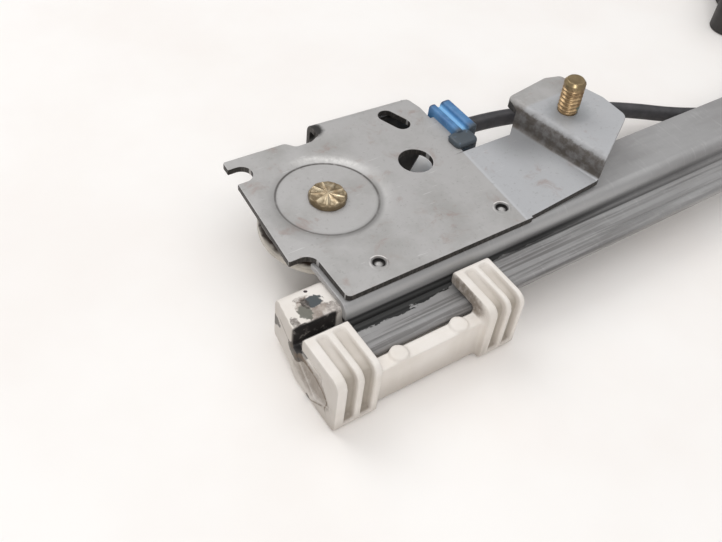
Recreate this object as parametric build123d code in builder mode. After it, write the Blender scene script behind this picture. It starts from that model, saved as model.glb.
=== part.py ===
from build123d import *
import math
import os

os.makedirs("parts", exist_ok=True)

# All sizes are in millimetres. While it is being built, the part stands on the bench (z = 0)
# with the near pulley's axis at x = 0, y = 0, the rail along +x and the drum on the +y side.

# Heights and sheet thicknesses
web_top_z = 17.4
rail_sheet = 1.6
plate_sheet = 1.8
guard_sheet = 1.2

# Pulleys and the lift cable
pulley_spacing = 400.0
cable_radius = 0.75
cable_pitch_radius = 16.0
cable_z = 12.2
cable_gap = 0.3
pulley_radius = 17.7
pulley_rim_bottom_z = 8.4
pulley_rim_top_z = 15.2
pulley_hub_radius = 7.5
pulley_rim_inner_radius = 12.8
pulley_web_thickness = 2.4
pulley_side_gap = 0.3
groove_mouth_half = 1.8
groove_floor_half = 1.1
pulley_window_radius = 1.7
pulley_window_count = 6
rivet_radius = 4.0
rivet_head_radius = 5.1
rivet_head_height = 2.0
rivet_foot_radius = 6.0
rivet_foot_height = 1.6
rim_chamfer = 0.25
head_round_share = 0.4
running_gap = 0.05

# Guards under the pulleys
guard_half_width = 11.6
guard_turn = 34.0
guard_reach = 54.0
guard_tongue = 3.3
guard_clip_gap = 0.6
guard_lap = 3.4
guard_end_gap = 3.0
guard_upstand_length = 33.0
guard_side_gap = 2.0

# Guide rail, a folded strip: web, wall, flange and a hem along the flange's edge
rail_overhang = 15.0
web_width = 15.9
web_gap = 0.2
wall_height = 5.0
wall_outer_bend = 3.2
foot_outer_bend = 2.6
flange_width = 11.0
hem_width = 3.8
hem_round_share = 0.95
flange_rib_offset = 1.5
flange_rib_width = 2.2
flange_rib_height = 0.5

# End plate
emboss_rim_radius = 16.5
emboss_floor_radius = 13.1
emboss_depth = 0.8
plate_left_x = -19.6
plate_front_y = -31.2
plate_back_y = 23.4
plate_right_x = 43.2
step_x = -13.9
step_y = -15.4
step_radius = 3.2
plate_corner_radius = 1.4
plate_left_overhang = 0.6
plate_left_inset = 1.5
plate_left_shoulder_y = 13.0
back_corner_inset = 2.0
back_dip_x = [0.6, 2.8, 7.6]
back_dip_start = 0.5
back_dip_depth = 3.0
flange_root_inset = 3.2
right_corner_inset = 0.9
right_corner_rises = [1.3, 0.6, -4.0]
plate_right_inset = 0.8
hook_slot_x = -15.4
hook_slot_y = 17.1
hook_slot_radius = 2.95
sight_hole_x = 28.3
sight_hole_y = 0.9
sight_hole_radius = 4.7
oblong_x = 33.2
oblong_y = 18.2
oblong_length = 10.0
oblong_width = 4.8
oblong_angle = -68.8
back_flange_x = 10.6
back_flange_y = 25.2
back_flange_length = 29.5
back_flange_turn = -3.3
back_flange_depth = 7.6
flange_outer_bend = 3.0
flange_lap = 1.5
button_radius = 2.5
button_hollow_radius = 1.5
button_hollow_depth = 1.2
button_places = [(-1.5, -25.5), (37.3, -24.6)]
lug_front_y = 5.2
lug_width = 9.0
lug_root = 2.0
end_foot_width = 24.0

# Arm of the end plate: a skewed strip, a riser and the tab that holds the fixing stud
arm_skew = 11.0
crease_u = 37.6
strip_slope = 1.5
strip_back_y = -1.9
riser_u = 60.9
riser_relief = 0.6
riser_relief_length = 3.5
tab_rise = 6.5
tab_slope = 3.0
arm_inner_bend = 1.2
stud_from_riser = 9.4
stud_v = 21.5
tab_corners = [(-8.2, 14.4), (6.6, 13.2), (11.0, 10.8), (12.5, -3.2), (10.7, -12.5), (-9.7, -19.8)]
tab_corner_rounds = [1.2, 1.8, 1.8, 4.0, 3.0, 0]
stud_radius = 3.0
stud_length = 10.2
stud_neck_radius = 2.7
stud_neck_rise = 0.4
stud_head_radius = 5.5
stud_head_height = 2.0
stud_tip_chamfer = 0.6

# Conduits and the clips that hold their near ends
conduit_radius = 2.4
conduit_bore_radius = 1.1
arc_share = 0.45
cable_exit_angle = 3.0
clip_start_x = 44.0
clip_length = 7.4
clip_front_y = 3.6
clip_width = 13.4
clip_bottom_z = 7.6
clip_rib_rise = 2.2
clip_floor_rise = 0.5
clip_near_rib = 2.3
clip_far_rib = 2.9
clip_edge_round = 0.5
clip_head_start_x = 41.2
clip_head_end_x = 48.6
clip_head_front_y = -1.0
clip_head_back_y = 4.6
clip_head_rise = 1.6
clip_head_round = 2.0
clip_head_bottom_z = 12.0
ferrule_radius = 3.2
ferrule_start = -1.0
ferrule_stop_length = 2.4

# Slider
slider_start_x = -28.4
slider_length = 53.1
near_jaw_length = 12.0
far_jaw_length = 10.9
slide_gap = 0.3
jaw_roof = 3.8
jaw_wall = 6.3
jaw_back_gap = 2.4
jaw_round = 2.8
jaw_foot_round = 1.2
slider_edge_round = 0.8
slot_corner_round = 0.4
rib_groove_width = 2.7
rib_groove_depth = 2.0
rib_groove_foot = 1.6
rib_groove_set_back = 1.4
rib_groove_round = 1.4
rib_groove_start_depth = 0.8
groove_shares = [0.235, 0.615]
bar_thickness = 4.0
bar_set_back = 0.8
bar_top_z = 12.3
bar_lift = 0.6
nub_radius = 2.3
nub_rise = 1.5
nub_offsets = [7.2, 24.4]
block_back_gap = 2.4
block_round = 2.5
block_lift = 2.2
block_lift_end_y = -29.8
block_foot_y = -33.4
block_taper = 1.8
block_taper_y = -32.5
end_recess = [(-33.0, 11.5), (-44.5, 10.8), (-48.0, 6.0), (-41.5, 2.2), (-33.0, 8.5)]
end_recess_depth = 1.0
pocket_length = 11.6
pocket_rib = 2.0
pocket_width = 15.0
pocket_height = 6.0
anchor_length = 6.2
anchor_back = 3.5
anchor_root = 2.6
anchor_bottom_z = 8.0
anchor_wall = 0.9
nipple_radius = 2.4
nipple_length = 2.1
insert_radius = 4.5
insert_bore_radius = 2.5
insert_length = 8.0
insert_y = -38.0

# Drum unit
drum_x = 232.0
drum_y = 27.0
drum_pitch_radius = 20.0
drum_wrap = 250
drum_flange_radius = 22.5
drum_flange_bottom_z = 5.3
drum_flange_top_z = 13.7
drum_groove_heights = [7.6, 11.4]
drum_hub_radius = 11.0
drum_hub_bottom_z = 2.8
drum_nipple_radius = 2.0
drum_nipple_circle = 15.2
housing_floor = 2.5
housing_height = 16.0
housing_inner_radius = 24.5
housing_wall = 2.5
cover_thickness = 2.5
bearing_ring_radius = 13.4
bearing_ring_height = 2.4
socket_radius = 6.0
socket_sleeve_radius = 8.0
socket_floor_z = 6.0
keyway_width = 1.5
keyway_depth = 1.0
keyway_count = 4
ear_circle_radius = 34.0
ear_radius = 6.5
ear_web_width = 8.0
ear_angles = [60, 180, 300]
sleeve_radius = 4.0
sleeve_bore_radius = 3.25
screw_circle_radius = 30.5
screw_boss_radius = 3.6
screw_angles = [0, 120, 240]
screw_radius = 1.5
screw_length = 10.0
screw_head_radius = 2.9
screw_head_height = 1.7
port_mouth = 34.0
port_radius = 4.4
port_bore_radius = 3.4
port_seat = 21.0
port_grip = 5.0
port_run = 9.5
sleeve_stop_length = 2.0
port_collar_length = 2.0
spring_bore_radius = 2.0

# Values that follow from the sizes above
plate_top_z = web_top_z + plate_sheet
recess_top_z = plate_top_z - emboss_depth
guard_top_z = pulley_rim_bottom_z - 2 * pulley_side_gap
guard_bottom_z = guard_top_z - guard_sheet
web_back_y = -(emboss_rim_radius + web_gap)
web_front_y = web_back_y - web_width
web_bottom_z = web_top_z - rail_sheet
flange_top_z = web_top_z - wall_height
flange_bottom_z = flange_top_z - rail_sheet
flange_front_y = web_front_y - flange_width
hem_top_z = flange_top_z - rail_sheet / 2 + rail_sheet
hem_bottom_z = hem_top_z - 2 * rail_sheet
rail_start_x = -rail_overhang
rail_length = pulley_spacing + 2 * rail_overhang
mid_plane = Plane.YZ.offset(pulley_spacing / 2)
housing_radius = housing_inner_radius + housing_wall
housing_top_z = housing_height + cover_thickness
entry_y = drum_y - drum_pitch_radius
cut_reach = 100.0


def cable_line_y(x):
    """Height in y of the straight cable between the near pulley and its clip."""
    turn = math.radians(cable_exit_angle)
    return (cable_pitch_radius - x * math.sin(turn)) / math.cos(turn)


def arc_radii(points):
    """Arc radius at each inner corner: a share of the shorter run over tan(half the turn)."""
    radii = []
    for before, corner, after in zip(points, points[1:], points[2:]):
        run_in = Vector(*corner) - Vector(*before)
        run_out = Vector(*after) - Vector(*corner)
        half_turn = math.radians(run_in.get_angle(run_out)) / 2
        radii.append(arc_share * min(run_in.length, run_out.length) / math.tan(half_turn))
    return radii


# Guide rail
rib_back_y = web_front_y - flange_rib_offset
rib_front_y = rib_back_y - flange_rib_width
with BuildPart() as guide_rail:
    with BuildSketch(Plane.YZ.offset(rail_start_x)):
        with BuildLine():
            FilletPolyline(
                (web_back_y, web_top_z),
                (web_front_y, web_top_z),
                (web_front_y, flange_top_z),
                (rib_back_y, flange_top_z),
                (rib_back_y - flange_rib_height, flange_top_z + flange_rib_height),
                (rib_front_y + flange_rib_height, flange_top_z + flange_rib_height),
                (rib_front_y, flange_top_z),
                (flange_front_y + hem_width / 2, flange_top_z),
                (flange_front_y + hem_width / 2, flange_bottom_z),
                (web_front_y + rail_sheet, flange_bottom_z),
                (web_front_y + rail_sheet, web_bottom_z),
                (web_back_y, web_bottom_z),
                radius=[
                    0,
                    wall_outer_bend,
                    foot_outer_bend - rail_sheet,
                    0,
                    0,
                    0,
                    0,
                    0,
                    0,
                    foot_outer_bend,
                    wall_outer_bend - rail_sheet,
                    0,
                ],
                close=True,
            )
        make_face()
        hem_middle = (flange_front_y + hem_width / 2, (hem_top_z + hem_bottom_z) / 2)
        with Locations(hem_middle):
            RectangleRounded(hem_width, 2 * rail_sheet, hem_round_share * rail_sheet)
    extrude(amount=rail_length)
    far_places = [(pulley_spacing - x, y) for x, y in button_places]
    with Locations([(x, y, web_top_z) for x, y in button_places + far_places]):
        Hole(button_radius + running_gap, depth=rail_sheet)
guide_rail.part.label = "guide_rail"


# Arm of an end plate. u runs across the bends, v along them towards the front.
skew = math.radians(arm_skew)
arm_plane = Plane(
    origin=(0, 0, 0),
    x_dir=(math.cos(skew), math.sin(skew), 0),
    z_dir=(math.sin(skew), -math.cos(skew), 0),
)
strip_top_z = plate_top_z + (riser_u - crease_u) * math.tan(math.radians(strip_slope))
tab_start_z = strip_top_z + tab_rise
tab_gain = math.tan(math.radians(tab_slope))
stud_u = riser_u + stud_from_riser
tab_end_u = stud_u + tab_corners[3][0] + 2 * plate_sheet
tab_end_z = tab_start_z + (tab_end_u - riser_u) * tab_gain
arm_outer_bend = arm_inner_bend + plate_sheet
arm_root_u = crease_u - 3 * plate_sheet


def skewed(u, v):
    """Place in x, y of a point given across the bends (u) and along them towards the front (v)."""
    return (u * math.cos(skew) + v * math.sin(skew), u * math.sin(skew) - v * math.cos(skew))


riser_x = riser_u / math.cos(skew)
strip_root_x = crease_u - 2 * plate_sheet
tab_points = [skewed(stud_u + across, stud_v - back) for across, back in tab_corners]
with BuildPart() as arm:
    with BuildSketch(arm_plane):
        with BuildLine():
            FilletPolyline(
                (arm_root_u, plate_top_z),
                (crease_u, plate_top_z),
                (riser_u, strip_top_z),
                (riser_u, tab_start_z),
                (tab_end_u, tab_end_z),
                (tab_end_u, tab_end_z - plate_sheet),
                (riser_u + plate_sheet, tab_start_z - plate_sheet + plate_sheet * tab_gain),
                (riser_u + plate_sheet, strip_top_z - plate_sheet),
                (crease_u, web_top_z),
                (arm_root_u, web_top_z),
                radius=[
                    0,
                    0,
                    arm_inner_bend,
                    arm_outer_bend,
                    0,
                    0,
                    arm_inner_bend,
                    arm_outer_bend,
                    0,
                    0,
                ],
                close=True,
            )
        make_face()
    extrude(amount=cut_reach, both=True)
    with BuildSketch(Plane.XY):
        with BuildLine():
            FilletPolyline(
                (strip_root_x, strip_back_y),
                (riser_x - riser_relief_length, strip_back_y - riser_relief),
                (riser_x, riser_relief),
                *tab_points,
                (strip_root_x, plate_front_y),
                radius=[0, riser_relief, 0, *tab_corner_rounds, 0],
                close=True,
            )
        make_face()
    extrude(amount=cut_reach, mode=Mode.INTERSECT)
    # the tab's back corner overhangs: nothing of the riser stands behind the strip
    with BuildSketch(Plane.XY):
        with Locations((riser_x + plate_sheet, riser_relief)):
            Rectangle(6 * plate_sheet, 6 * plate_sheet, align=(Align.CENTER, Align.MIN))
    extrude(amount=tab_start_z - arm_outer_bend, mode=Mode.SUBTRACT)

# the fixing stud stands square on the tab
tab_lean = math.radians(tab_slope)
stud_x, stud_y = skewed(stud_u, stud_v)
stud_z = tab_start_z + (stud_u - riser_u) * tab_gain
stud_plane = Plane(
    origin=(stud_x, stud_y, stud_z),
    x_dir=(math.cos(skew) * math.cos(tab_lean), math.sin(skew) * math.cos(tab_lean), math.sin(tab_lean)),
    z_dir=(-math.sin(tab_lean) * math.cos(skew), -math.sin(tab_lean) * math.sin(skew), math.cos(tab_lean)),
)

# the back flange runs at a slight turn from the rail
flange_turn = math.radians(back_flange_turn)
flange_plane = Plane(
    origin=(back_flange_x, back_flange_y, 0),
    x_dir=(-math.sin(flange_turn), math.cos(flange_turn), 0),
    z_dir=(math.cos(flange_turn), math.sin(flange_turn), 0),
)
flange_inner_bend = flange_outer_bend - plate_sheet
flange_low_z = plate_top_z - back_flange_depth
flange_end_x = back_flange_x + back_flange_length * math.cos(flange_turn)
flange_end_y = back_flange_y + back_flange_length * math.sin(flange_turn)


def end_plate(far_end):
    """Pressed end plate in the near end's place. The far one has an end foot, not a hook slot."""
    with BuildPart() as plate:
        with BuildSketch(Plane.XY.offset(web_top_z)):
            with BuildLine():
                FilletPolyline(
                    (plate_left_x + back_corner_inset, plate_back_y),
                    (back_dip_x[0], plate_back_y - back_dip_start),
                    (back_dip_x[1], plate_back_y - back_dip_depth),
                    (back_dip_x[2], plate_back_y - back_dip_depth),
                    (back_flange_x, back_flange_y - flange_root_inset),
                    (back_flange_x, back_flange_y),
                    (flange_end_x, flange_end_y),
                    (flange_end_x, flange_end_y + right_corner_rises[0]),
                    (plate_right_x - right_corner_inset, flange_end_y + right_corner_rises[1]),
                    (plate_right_x, flange_end_y + right_corner_rises[2]),
                    (plate_right_x - plate_right_inset, strip_back_y),
                    (plate_right_x - plate_right_inset, plate_front_y),
                    (step_x, plate_front_y),
                    (step_x, step_y),
                    (plate_left_x - plate_left_overhang, step_y),
                    (plate_left_x + plate_left_inset, plate_left_shoulder_y),
                    radius=[
                        0.8,
                        2.0,
                        2.0,
                        2.0,
                        0,
                        0,
                        0,
                        0,
                        1.2,
                        2.0,
                        0,
                        0,
                        plate_corner_radius,
                        step_radius,
                        0.5,
                        1.0,
                    ],
                    close=True,
                )
            make_face()
            lug_length = clip_start_x + clip_length - clip_far_rib / 2 - plate_right_x + lug_root
            with Locations((plate_right_x - lug_root, lug_front_y)):
                Rectangle(lug_length, lug_width, align=(Align.MIN, Align.MIN))
            if not far_end:
                with Locations((hook_slot_x, hook_slot_y)):
                    Circle(hook_slot_radius, mode=Mode.SUBTRACT)
                    Rectangle(
                        cut_reach,
                        2 * hook_slot_radius,
                        align=(Align.MAX, Align.CENTER),
                        mode=Mode.SUBTRACT,
                    )
        extrude(amount=plate_sheet)
        add(arm.part)
        # back flange, bent down
        with BuildSketch(flange_plane):
            with BuildLine():
                FilletPolyline(
                    (-flange_lap, plate_top_z),
                    (flange_outer_bend, plate_top_z),
                    (flange_outer_bend, flange_low_z),
                    (flange_inner_bend, flange_low_z),
                    (flange_inner_bend, web_top_z),
                    (-flange_lap, web_top_z),
                    radius=[0, flange_outer_bend, 0, 0, flange_inner_bend, 0],
                    close=True,
                )
            make_face()
        extrude(amount=back_flange_length)
        # round emboss around the pulley axis, pressed down
        with BuildSketch(Plane.XZ):
            with BuildLine():
                Polyline(
                    (0, web_top_z),
                    (emboss_rim_radius, web_top_z),
                    (emboss_floor_radius, web_top_z - emboss_depth),
                    (0, web_top_z - emboss_depth),
                    close=True,
                )
            make_face()
        revolve(axis=Axis.Z)
        with BuildSketch(Plane.XZ):
            with BuildLine():
                Polyline(
                    (0, plate_top_z),
                    (emboss_rim_radius, plate_top_z),
                    (emboss_floor_radius, recess_top_z),
                    (0, recess_top_z),
                    close=True,
                )
            make_face()
        revolve(axis=Axis.Z, mode=Mode.SUBTRACT)
        if far_end:
            with BuildSketch(Plane.XY):
                with Locations((plate_left_x, 0)):
                    Rectangle(plate_sheet, end_foot_width, align=(Align.MAX, Align.CENTER))
            extrude(amount=plate_top_z)
        with Locations((0, 0, plate_top_z)):
            Hole(rivet_radius, depth=2 * plate_sheet)
        with Locations((sight_hole_x, sight_hole_y, plate_top_z)):
            Hole(sight_hole_radius, depth=plate_sheet)
        with BuildSketch(Plane.XY.offset(plate_top_z)):
            with Locations((oblong_x, oblong_y)):
                SlotOverall(oblong_length, oblong_width, rotation=oblong_angle)
        extrude(amount=-plate_sheet, mode=Mode.SUBTRACT)
        # clinched buttons that join the plate to the rail
        with BuildSketch(Plane.XY.offset(web_bottom_z)):
            with Locations(button_places):
                Circle(button_radius)
        extrude(amount=rail_sheet)
        with Locations([(x, y, plate_top_z) for x, y in button_places]):
            Hole(button_hollow_radius, depth=button_hollow_depth)
        with Locations(stud_plane.location):
            Hole(stud_neck_radius, depth=2 * plate_sheet)
    return plate.part


with BuildPart() as pulley_plate_a:
    add(end_plate(far_end=False))
pulley_plate_a.part.label = "pulley_plate_a"

with BuildPart() as pulley_plate_b:
    mirror(end_plate(far_end=True), about=mid_plane)
pulley_plate_b.part.label = "pulley_plate_b"

# Fixing studs
with BuildPart() as stud_a:
    with BuildSketch(stud_plane.offset(stud_neck_rise)):
        Circle(stud_radius)
    extrude(amount=stud_length - stud_neck_rise)
    # undercut neck, through the tab
    with BuildSketch(stud_plane.offset(-plate_sheet)):
        Circle(stud_neck_radius)
    extrude(amount=plate_sheet + stud_neck_rise)
    with BuildSketch(stud_plane.offset(-plate_sheet)):
        Circle(stud_head_radius)
    extrude(amount=-stud_head_height)
    chamfer(stud_a.edges().filter_by(GeomType.CIRCLE).sort_by(Axis.Z)[-1], stud_tip_chamfer)
stud_a.part.label = "stud_a"

with BuildPart() as stud_b:
    mirror(stud_a.part, about=mid_plane)
stud_b.part.label = "stud_b"

# Pulleys
groove_floor_radius = cable_pitch_radius - cable_radius - cable_gap
pulley_hub_top_z = recess_top_z - plate_sheet - pulley_side_gap
pulley_hub_bottom_z = guard_top_z + pulley_side_gap
pulley_mid_z = (pulley_rim_bottom_z + pulley_rim_top_z) / 2
window_circle = (pulley_hub_radius + pulley_rim_inner_radius) / 2
with BuildPart() as pulley_a:
    with BuildSketch(Plane.XZ):
        with BuildLine():
            Polyline(
                (rivet_radius + running_gap, pulley_hub_bottom_z),
                (pulley_hub_radius, pulley_hub_bottom_z),
                (pulley_hub_radius, pulley_mid_z - pulley_web_thickness / 2),
                (pulley_rim_inner_radius, pulley_mid_z - pulley_web_thickness / 2),
                (pulley_rim_inner_radius, pulley_rim_bottom_z),
                (pulley_radius, pulley_rim_bottom_z),
                (pulley_radius, cable_z - groove_mouth_half),
                (groove_floor_radius, cable_z - groove_floor_half),
                (groove_floor_radius, cable_z + groove_floor_half),
                (pulley_radius, cable_z + groove_mouth_half),
                (pulley_radius, pulley_rim_top_z),
                (pulley_rim_inner_radius, pulley_rim_top_z),
                (pulley_rim_inner_radius, pulley_mid_z + pulley_web_thickness / 2),
                (pulley_hub_radius, pulley_mid_z + pulley_web_thickness / 2),
                (pulley_hub_radius, pulley_hub_top_z),
                (rivet_radius + running_gap, pulley_hub_top_z),
                close=True,
            )
        make_face()
    revolve(axis=Axis.Z)
    with BuildSketch(Plane.XY.offset(pulley_mid_z)):
        with PolarLocations(window_circle, pulley_window_count):
            Circle(pulley_window_radius)
    extrude(amount=pulley_web_thickness, both=True, mode=Mode.SUBTRACT)
    rim_edges = pulley_a.edges().filter_by(GeomType.CIRCLE).filter_by(
        lambda edge: edge.radius > pulley_radius - running_gap
    )
    chamfer(rim_edges, rim_chamfer)
pulley_a.part.label = "pulley_a"

with BuildPart() as pulley_b:
    add(pulley_a.part.moved(Location((pulley_spacing, 0, 0))))
pulley_b.part.label = "pulley_b"

# Rivets that carry the pulleys and clamp the guards
with BuildPart() as pulley_rivet_a:
    with BuildSketch(Plane.XY.offset(guard_bottom_z - rivet_foot_height)):
        Circle(rivet_foot_radius)
    extrude(amount=rivet_foot_height)
    with BuildSketch(Plane.XY.offset(guard_bottom_z)):
        Circle(rivet_radius)
    extrude(amount=recess_top_z - guard_bottom_z)
    with BuildSketch(Plane.XY.offset(recess_top_z)):
        Circle(rivet_head_radius)
    extrude(amount=rivet_head_height)
    head_rim = pulley_rivet_a.edges().filter_by(GeomType.CIRCLE).sort_by(Axis.Z)[-1]
    fillet(head_rim, head_round_share * rivet_head_height)
pulley_rivet_a.part.label = "pulley_rivet_a"

with BuildPart() as pulley_rivet_b:
    add(pulley_rivet_a.part.moved(Location((pulley_spacing, 0, 0))))
pulley_rivet_b.part.label = "pulley_rivet_b"

# Guards under the pulleys: a strip towards the back flange, turned up against it
guard_upstand_z = flange_low_z + guard_lap
with BuildPart() as cable_guard_a:
    with BuildSketch(Plane.XY.offset(guard_bottom_z)):
        Circle(guard_half_width)
        Rectangle(
            guard_reach,
            2 * guard_half_width,
            rotation=guard_turn,
            align=(Align.MIN, Align.CENTER),
        )
        # cut off along the back flange's inner face and round the clip
        with Locations(Location((back_flange_x, back_flange_y), back_flange_turn)):
            with Locations((0, flange_inner_bend)):
                Rectangle(2 * cut_reach, cut_reach, align=(Align.CENTER, Align.MIN), mode=Mode.SUBTRACT)
        with Locations((plate_right_x - guard_side_gap, clip_front_y + clip_width + guard_clip_gap)):
            Rectangle(cut_reach, cut_reach, align=(Align.MIN, Align.MAX), mode=Mode.SUBTRACT)
        with Locations((plate_right_x + guard_tongue, 0)):
            Rectangle(cut_reach, cut_reach, align=(Align.MIN, Align.CENTER), mode=Mode.SUBTRACT)
    extrude(amount=guard_sheet)
    with BuildSketch(flange_plane.offset(guard_end_gap)):
        with Locations((flange_inner_bend, guard_bottom_z)):
            Rectangle(guard_sheet, guard_upstand_z - guard_bottom_z, align=(Align.MAX, Align.MIN))
    extrude(amount=guard_upstand_length)
    with Locations((0, 0, guard_top_z)):
        Hole(rivet_radius, depth=guard_sheet)
cable_guard_a.part.label = "cable_guard_a"

with BuildPart() as cable_guard_b:
    mirror(cable_guard_a.part, about=mid_plane)
cable_guard_b.part.label = "cable_guard_b"

# Clips on the plates' lugs, which hold the conduits' near ends
clip_end_x = clip_start_x + clip_length
exit_turn = -cable_exit_angle
bore_plane = Plane(
    origin=(clip_start_x, cable_line_y(clip_start_x), cable_z),
    x_dir=(0, 0, 1),
    z_dir=(math.cos(math.radians(exit_turn)), math.sin(math.radians(exit_turn)), 0),
)
lug_end_x = clip_end_x - clip_far_rib / 2
with BuildPart() as conduit_clip_a:
    with BuildSketch(Plane.XY.offset(clip_bottom_z)):
        with Locations((clip_start_x, clip_front_y)):
            Rectangle(clip_length, clip_width, align=(Align.MIN, Align.MIN))
    extrude(amount=plate_top_z + clip_floor_rise - clip_bottom_z)
    with BuildSketch(Plane.XY.offset(plate_top_z + clip_floor_rise)):
        with Locations((clip_start_x, clip_front_y)):
            Rectangle(clip_near_rib, clip_width, align=(Align.MIN, Align.MIN))
        with Locations((clip_end_x, clip_front_y)):
            Rectangle(clip_far_rib, clip_width, align=(Align.MAX, Align.MIN))
    extrude(amount=clip_rib_rise - clip_floor_rise)
    fillet(conduit_clip_a.edges().filter_by(Axis.Z), clip_edge_round)
    # rounded head at the front: a lip on the plate, and a body beside the plate's edge
    head_middle_y = (clip_head_front_y + clip_head_back_y) / 2
    head_width = clip_head_back_y - clip_head_front_y
    for head_x, head_z, head_height in [
        (clip_start_x, clip_head_bottom_z, plate_top_z + clip_head_rise - clip_head_bottom_z),
        (clip_head_start_x, plate_top_z, clip_head_rise),
    ]:
        with BuildSketch(Plane.XY.offset(head_z)):
            with Locations(((head_x + clip_head_end_x) / 2, head_middle_y)):
                RectangleRounded(clip_head_end_x - head_x, head_width, clip_head_round)
        extrude(amount=head_height)
    # window for the plate's lug
    with BuildSketch(Plane.XY.offset(web_top_z)):
        with Locations((clip_start_x, lug_front_y)):
            Rectangle(lug_end_x - clip_start_x, lug_width, align=(Align.MIN, Align.MIN))
    extrude(amount=plate_sheet, mode=Mode.SUBTRACT)
    with BuildSketch(bore_plane.offset(-clip_length)):
        Circle(ferrule_radius)
    extrude(amount=3 * clip_length, mode=Mode.SUBTRACT)
conduit_clip_a.part.label = "conduit_clip_a"

with BuildPart() as conduit_clip_b:
    mirror(conduit_clip_a.part, about=mid_plane)
conduit_clip_b.part.label = "conduit_clip_b"

with BuildPart() as ferrule_a:
    with BuildSketch(bore_plane.offset(ferrule_start)):
        Circle(ferrule_radius)
        Circle(conduit_bore_radius, mode=Mode.SUBTRACT)
    extrude(amount=ferrule_stop_length)
    with BuildSketch(bore_plane.offset(ferrule_start + ferrule_stop_length)):
        Circle(ferrule_radius)
        Circle(conduit_radius, mode=Mode.SUBTRACT)
    extrude(amount=clip_length - ferrule_start - ferrule_stop_length)
ferrule_a.part.label = "ferrule_a"

with BuildPart() as ferrule_b:
    mirror(ferrule_a.part, about=mid_plane)
ferrule_b.part.label = "ferrule_b"

# Routes of the two conduits, from the stop in the clip to the drum's port
low_groove_z = drum_groove_heights[0]
high_groove_z = drum_groove_heights[1]
conduit_start_x = clip_start_x + ferrule_start + ferrule_stop_length
near_port_x = drum_x - port_mouth
far_port_x = drum_x + port_mouth
route_a = [
    (conduit_start_x, cable_line_y(conduit_start_x), cable_z),
    (64.0, cable_line_y(64.0), cable_z),
    (88.0, 8.4, 10.8),
    (111.0, 1.6, 8.0),
    (131.0, -7.8, 5.0),
    (151.0, -14.0, 3.4),
    (172.0, -4.5, 5.0),
    (near_port_x - port_run, entry_y, low_groove_z),
    (near_port_x + port_grip, entry_y, low_groove_z),
]
route_b = [
    (pulley_spacing - conduit_start_x, cable_line_y(conduit_start_x), cable_z),
    (pulley_spacing - 62.0, cable_line_y(62.0), cable_z),
    (316.0, 6.4, 10.6),
    (296.0, 3.4, 10.2),
    (far_port_x + port_run, entry_y, high_groove_z),
    (far_port_x - port_grip, entry_y, high_groove_z),
]
radii_a = arc_radii(route_a)
radii_b = arc_radii(route_b)
print("conduit_a radii", [round(radius, 1) for radius in radii_a])
print("conduit_b radii", [round(radius, 1) for radius in radii_b])

with BuildPart() as conduit_a:
    with BuildLine() as conduit_a_path:
        FilletPolyline(*route_a, radius=radii_a)
    with BuildSketch(Plane(origin=conduit_a_path.line @ 0, z_dir=conduit_a_path.line % 0)):
        Circle(conduit_radius)
        Circle(conduit_bore_radius, mode=Mode.SUBTRACT)
    sweep(path=conduit_a_path.line)
conduit_a.part.label = "conduit_a"

with BuildPart() as conduit_b:
    with BuildLine() as conduit_b_path:
        FilletPolyline(*route_b, radius=radii_b)
    with BuildSketch(Plane(origin=conduit_b_path.line @ 0, z_dir=conduit_b_path.line % 0)):
        Circle(conduit_radius)
        Circle(conduit_bore_radius, mode=Mode.SUBTRACT)
    sweep(path=conduit_b_path.line)
conduit_b.part.label = "conduit_b"

# Lift cables: from the slider round the pulley, through the conduit and onto the drum
slider_end_x = slider_start_x + slider_length
cable_join_x = slider_end_x - anchor_length / 2
wrap_angle = 180 - cable_exit_angle
with BuildPart() as cable_a:
    with BuildLine(Plane.XY) as cable_a_path:
        Line((cable_join_x, -cable_pitch_radius, cable_z), (0, -cable_pitch_radius, cable_z))
        CenterArc((0, 0, cable_z), cable_pitch_radius, 270, -wrap_angle)
        leave = cable_a_path.line @ 1
        Line(leave, route_a[0])
        FilletPolyline(*route_a, radius=radii_a)
        Line(route_a[-1], (drum_x, entry_y, low_groove_z))
        CenterArc((drum_x, drum_y, low_groove_z), drum_pitch_radius, 270, drum_wrap)
    with BuildSketch(Plane(origin=cable_a_path.line @ 0, z_dir=cable_a_path.line % 0)):
        Circle(cable_radius)
    sweep(path=cable_a_path.line)
cable_a.part.label = "cable_a"

with BuildPart() as cable_b:
    with BuildLine(Plane.XY) as cable_b_path:
        Line(
            (cable_join_x, -cable_pitch_radius, cable_z),
            (pulley_spacing, -cable_pitch_radius, cable_z),
        )
        CenterArc((pulley_spacing, 0, cable_z), cable_pitch_radius, 270, wrap_angle)
        leave = cable_b_path.line @ 1
        Line(leave, route_b[0])
        FilletPolyline(*route_b, radius=radii_b)
        Line(route_b[-1], (drum_x, entry_y, high_groove_z))
        CenterArc((drum_x, drum_y, high_groove_z), drum_pitch_radius, 270, -drum_wrap)
    with BuildSketch(Plane(origin=cable_b_path.line @ 0, z_dir=cable_b_path.line % 0)):
        Circle(cable_radius)
    sweep(path=cable_b_path.line)
cable_b.part.label = "cable_b"

conduit_section = math.pi * (conduit_radius**2 - conduit_bore_radius**2)
cable_section = math.pi * cable_radius**2
for piece, path, section in [
    (conduit_a, conduit_a_path, conduit_section),
    (conduit_b, conduit_b_path, conduit_section),
    (cable_a, cable_a_path, cable_section),
    (cable_b, cable_b_path, cable_section),
]:
    length = path.wire().length
    print(piece.part.label, "length", round(length, 1), "ratio", piece.part.volume / (section * length))

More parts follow.
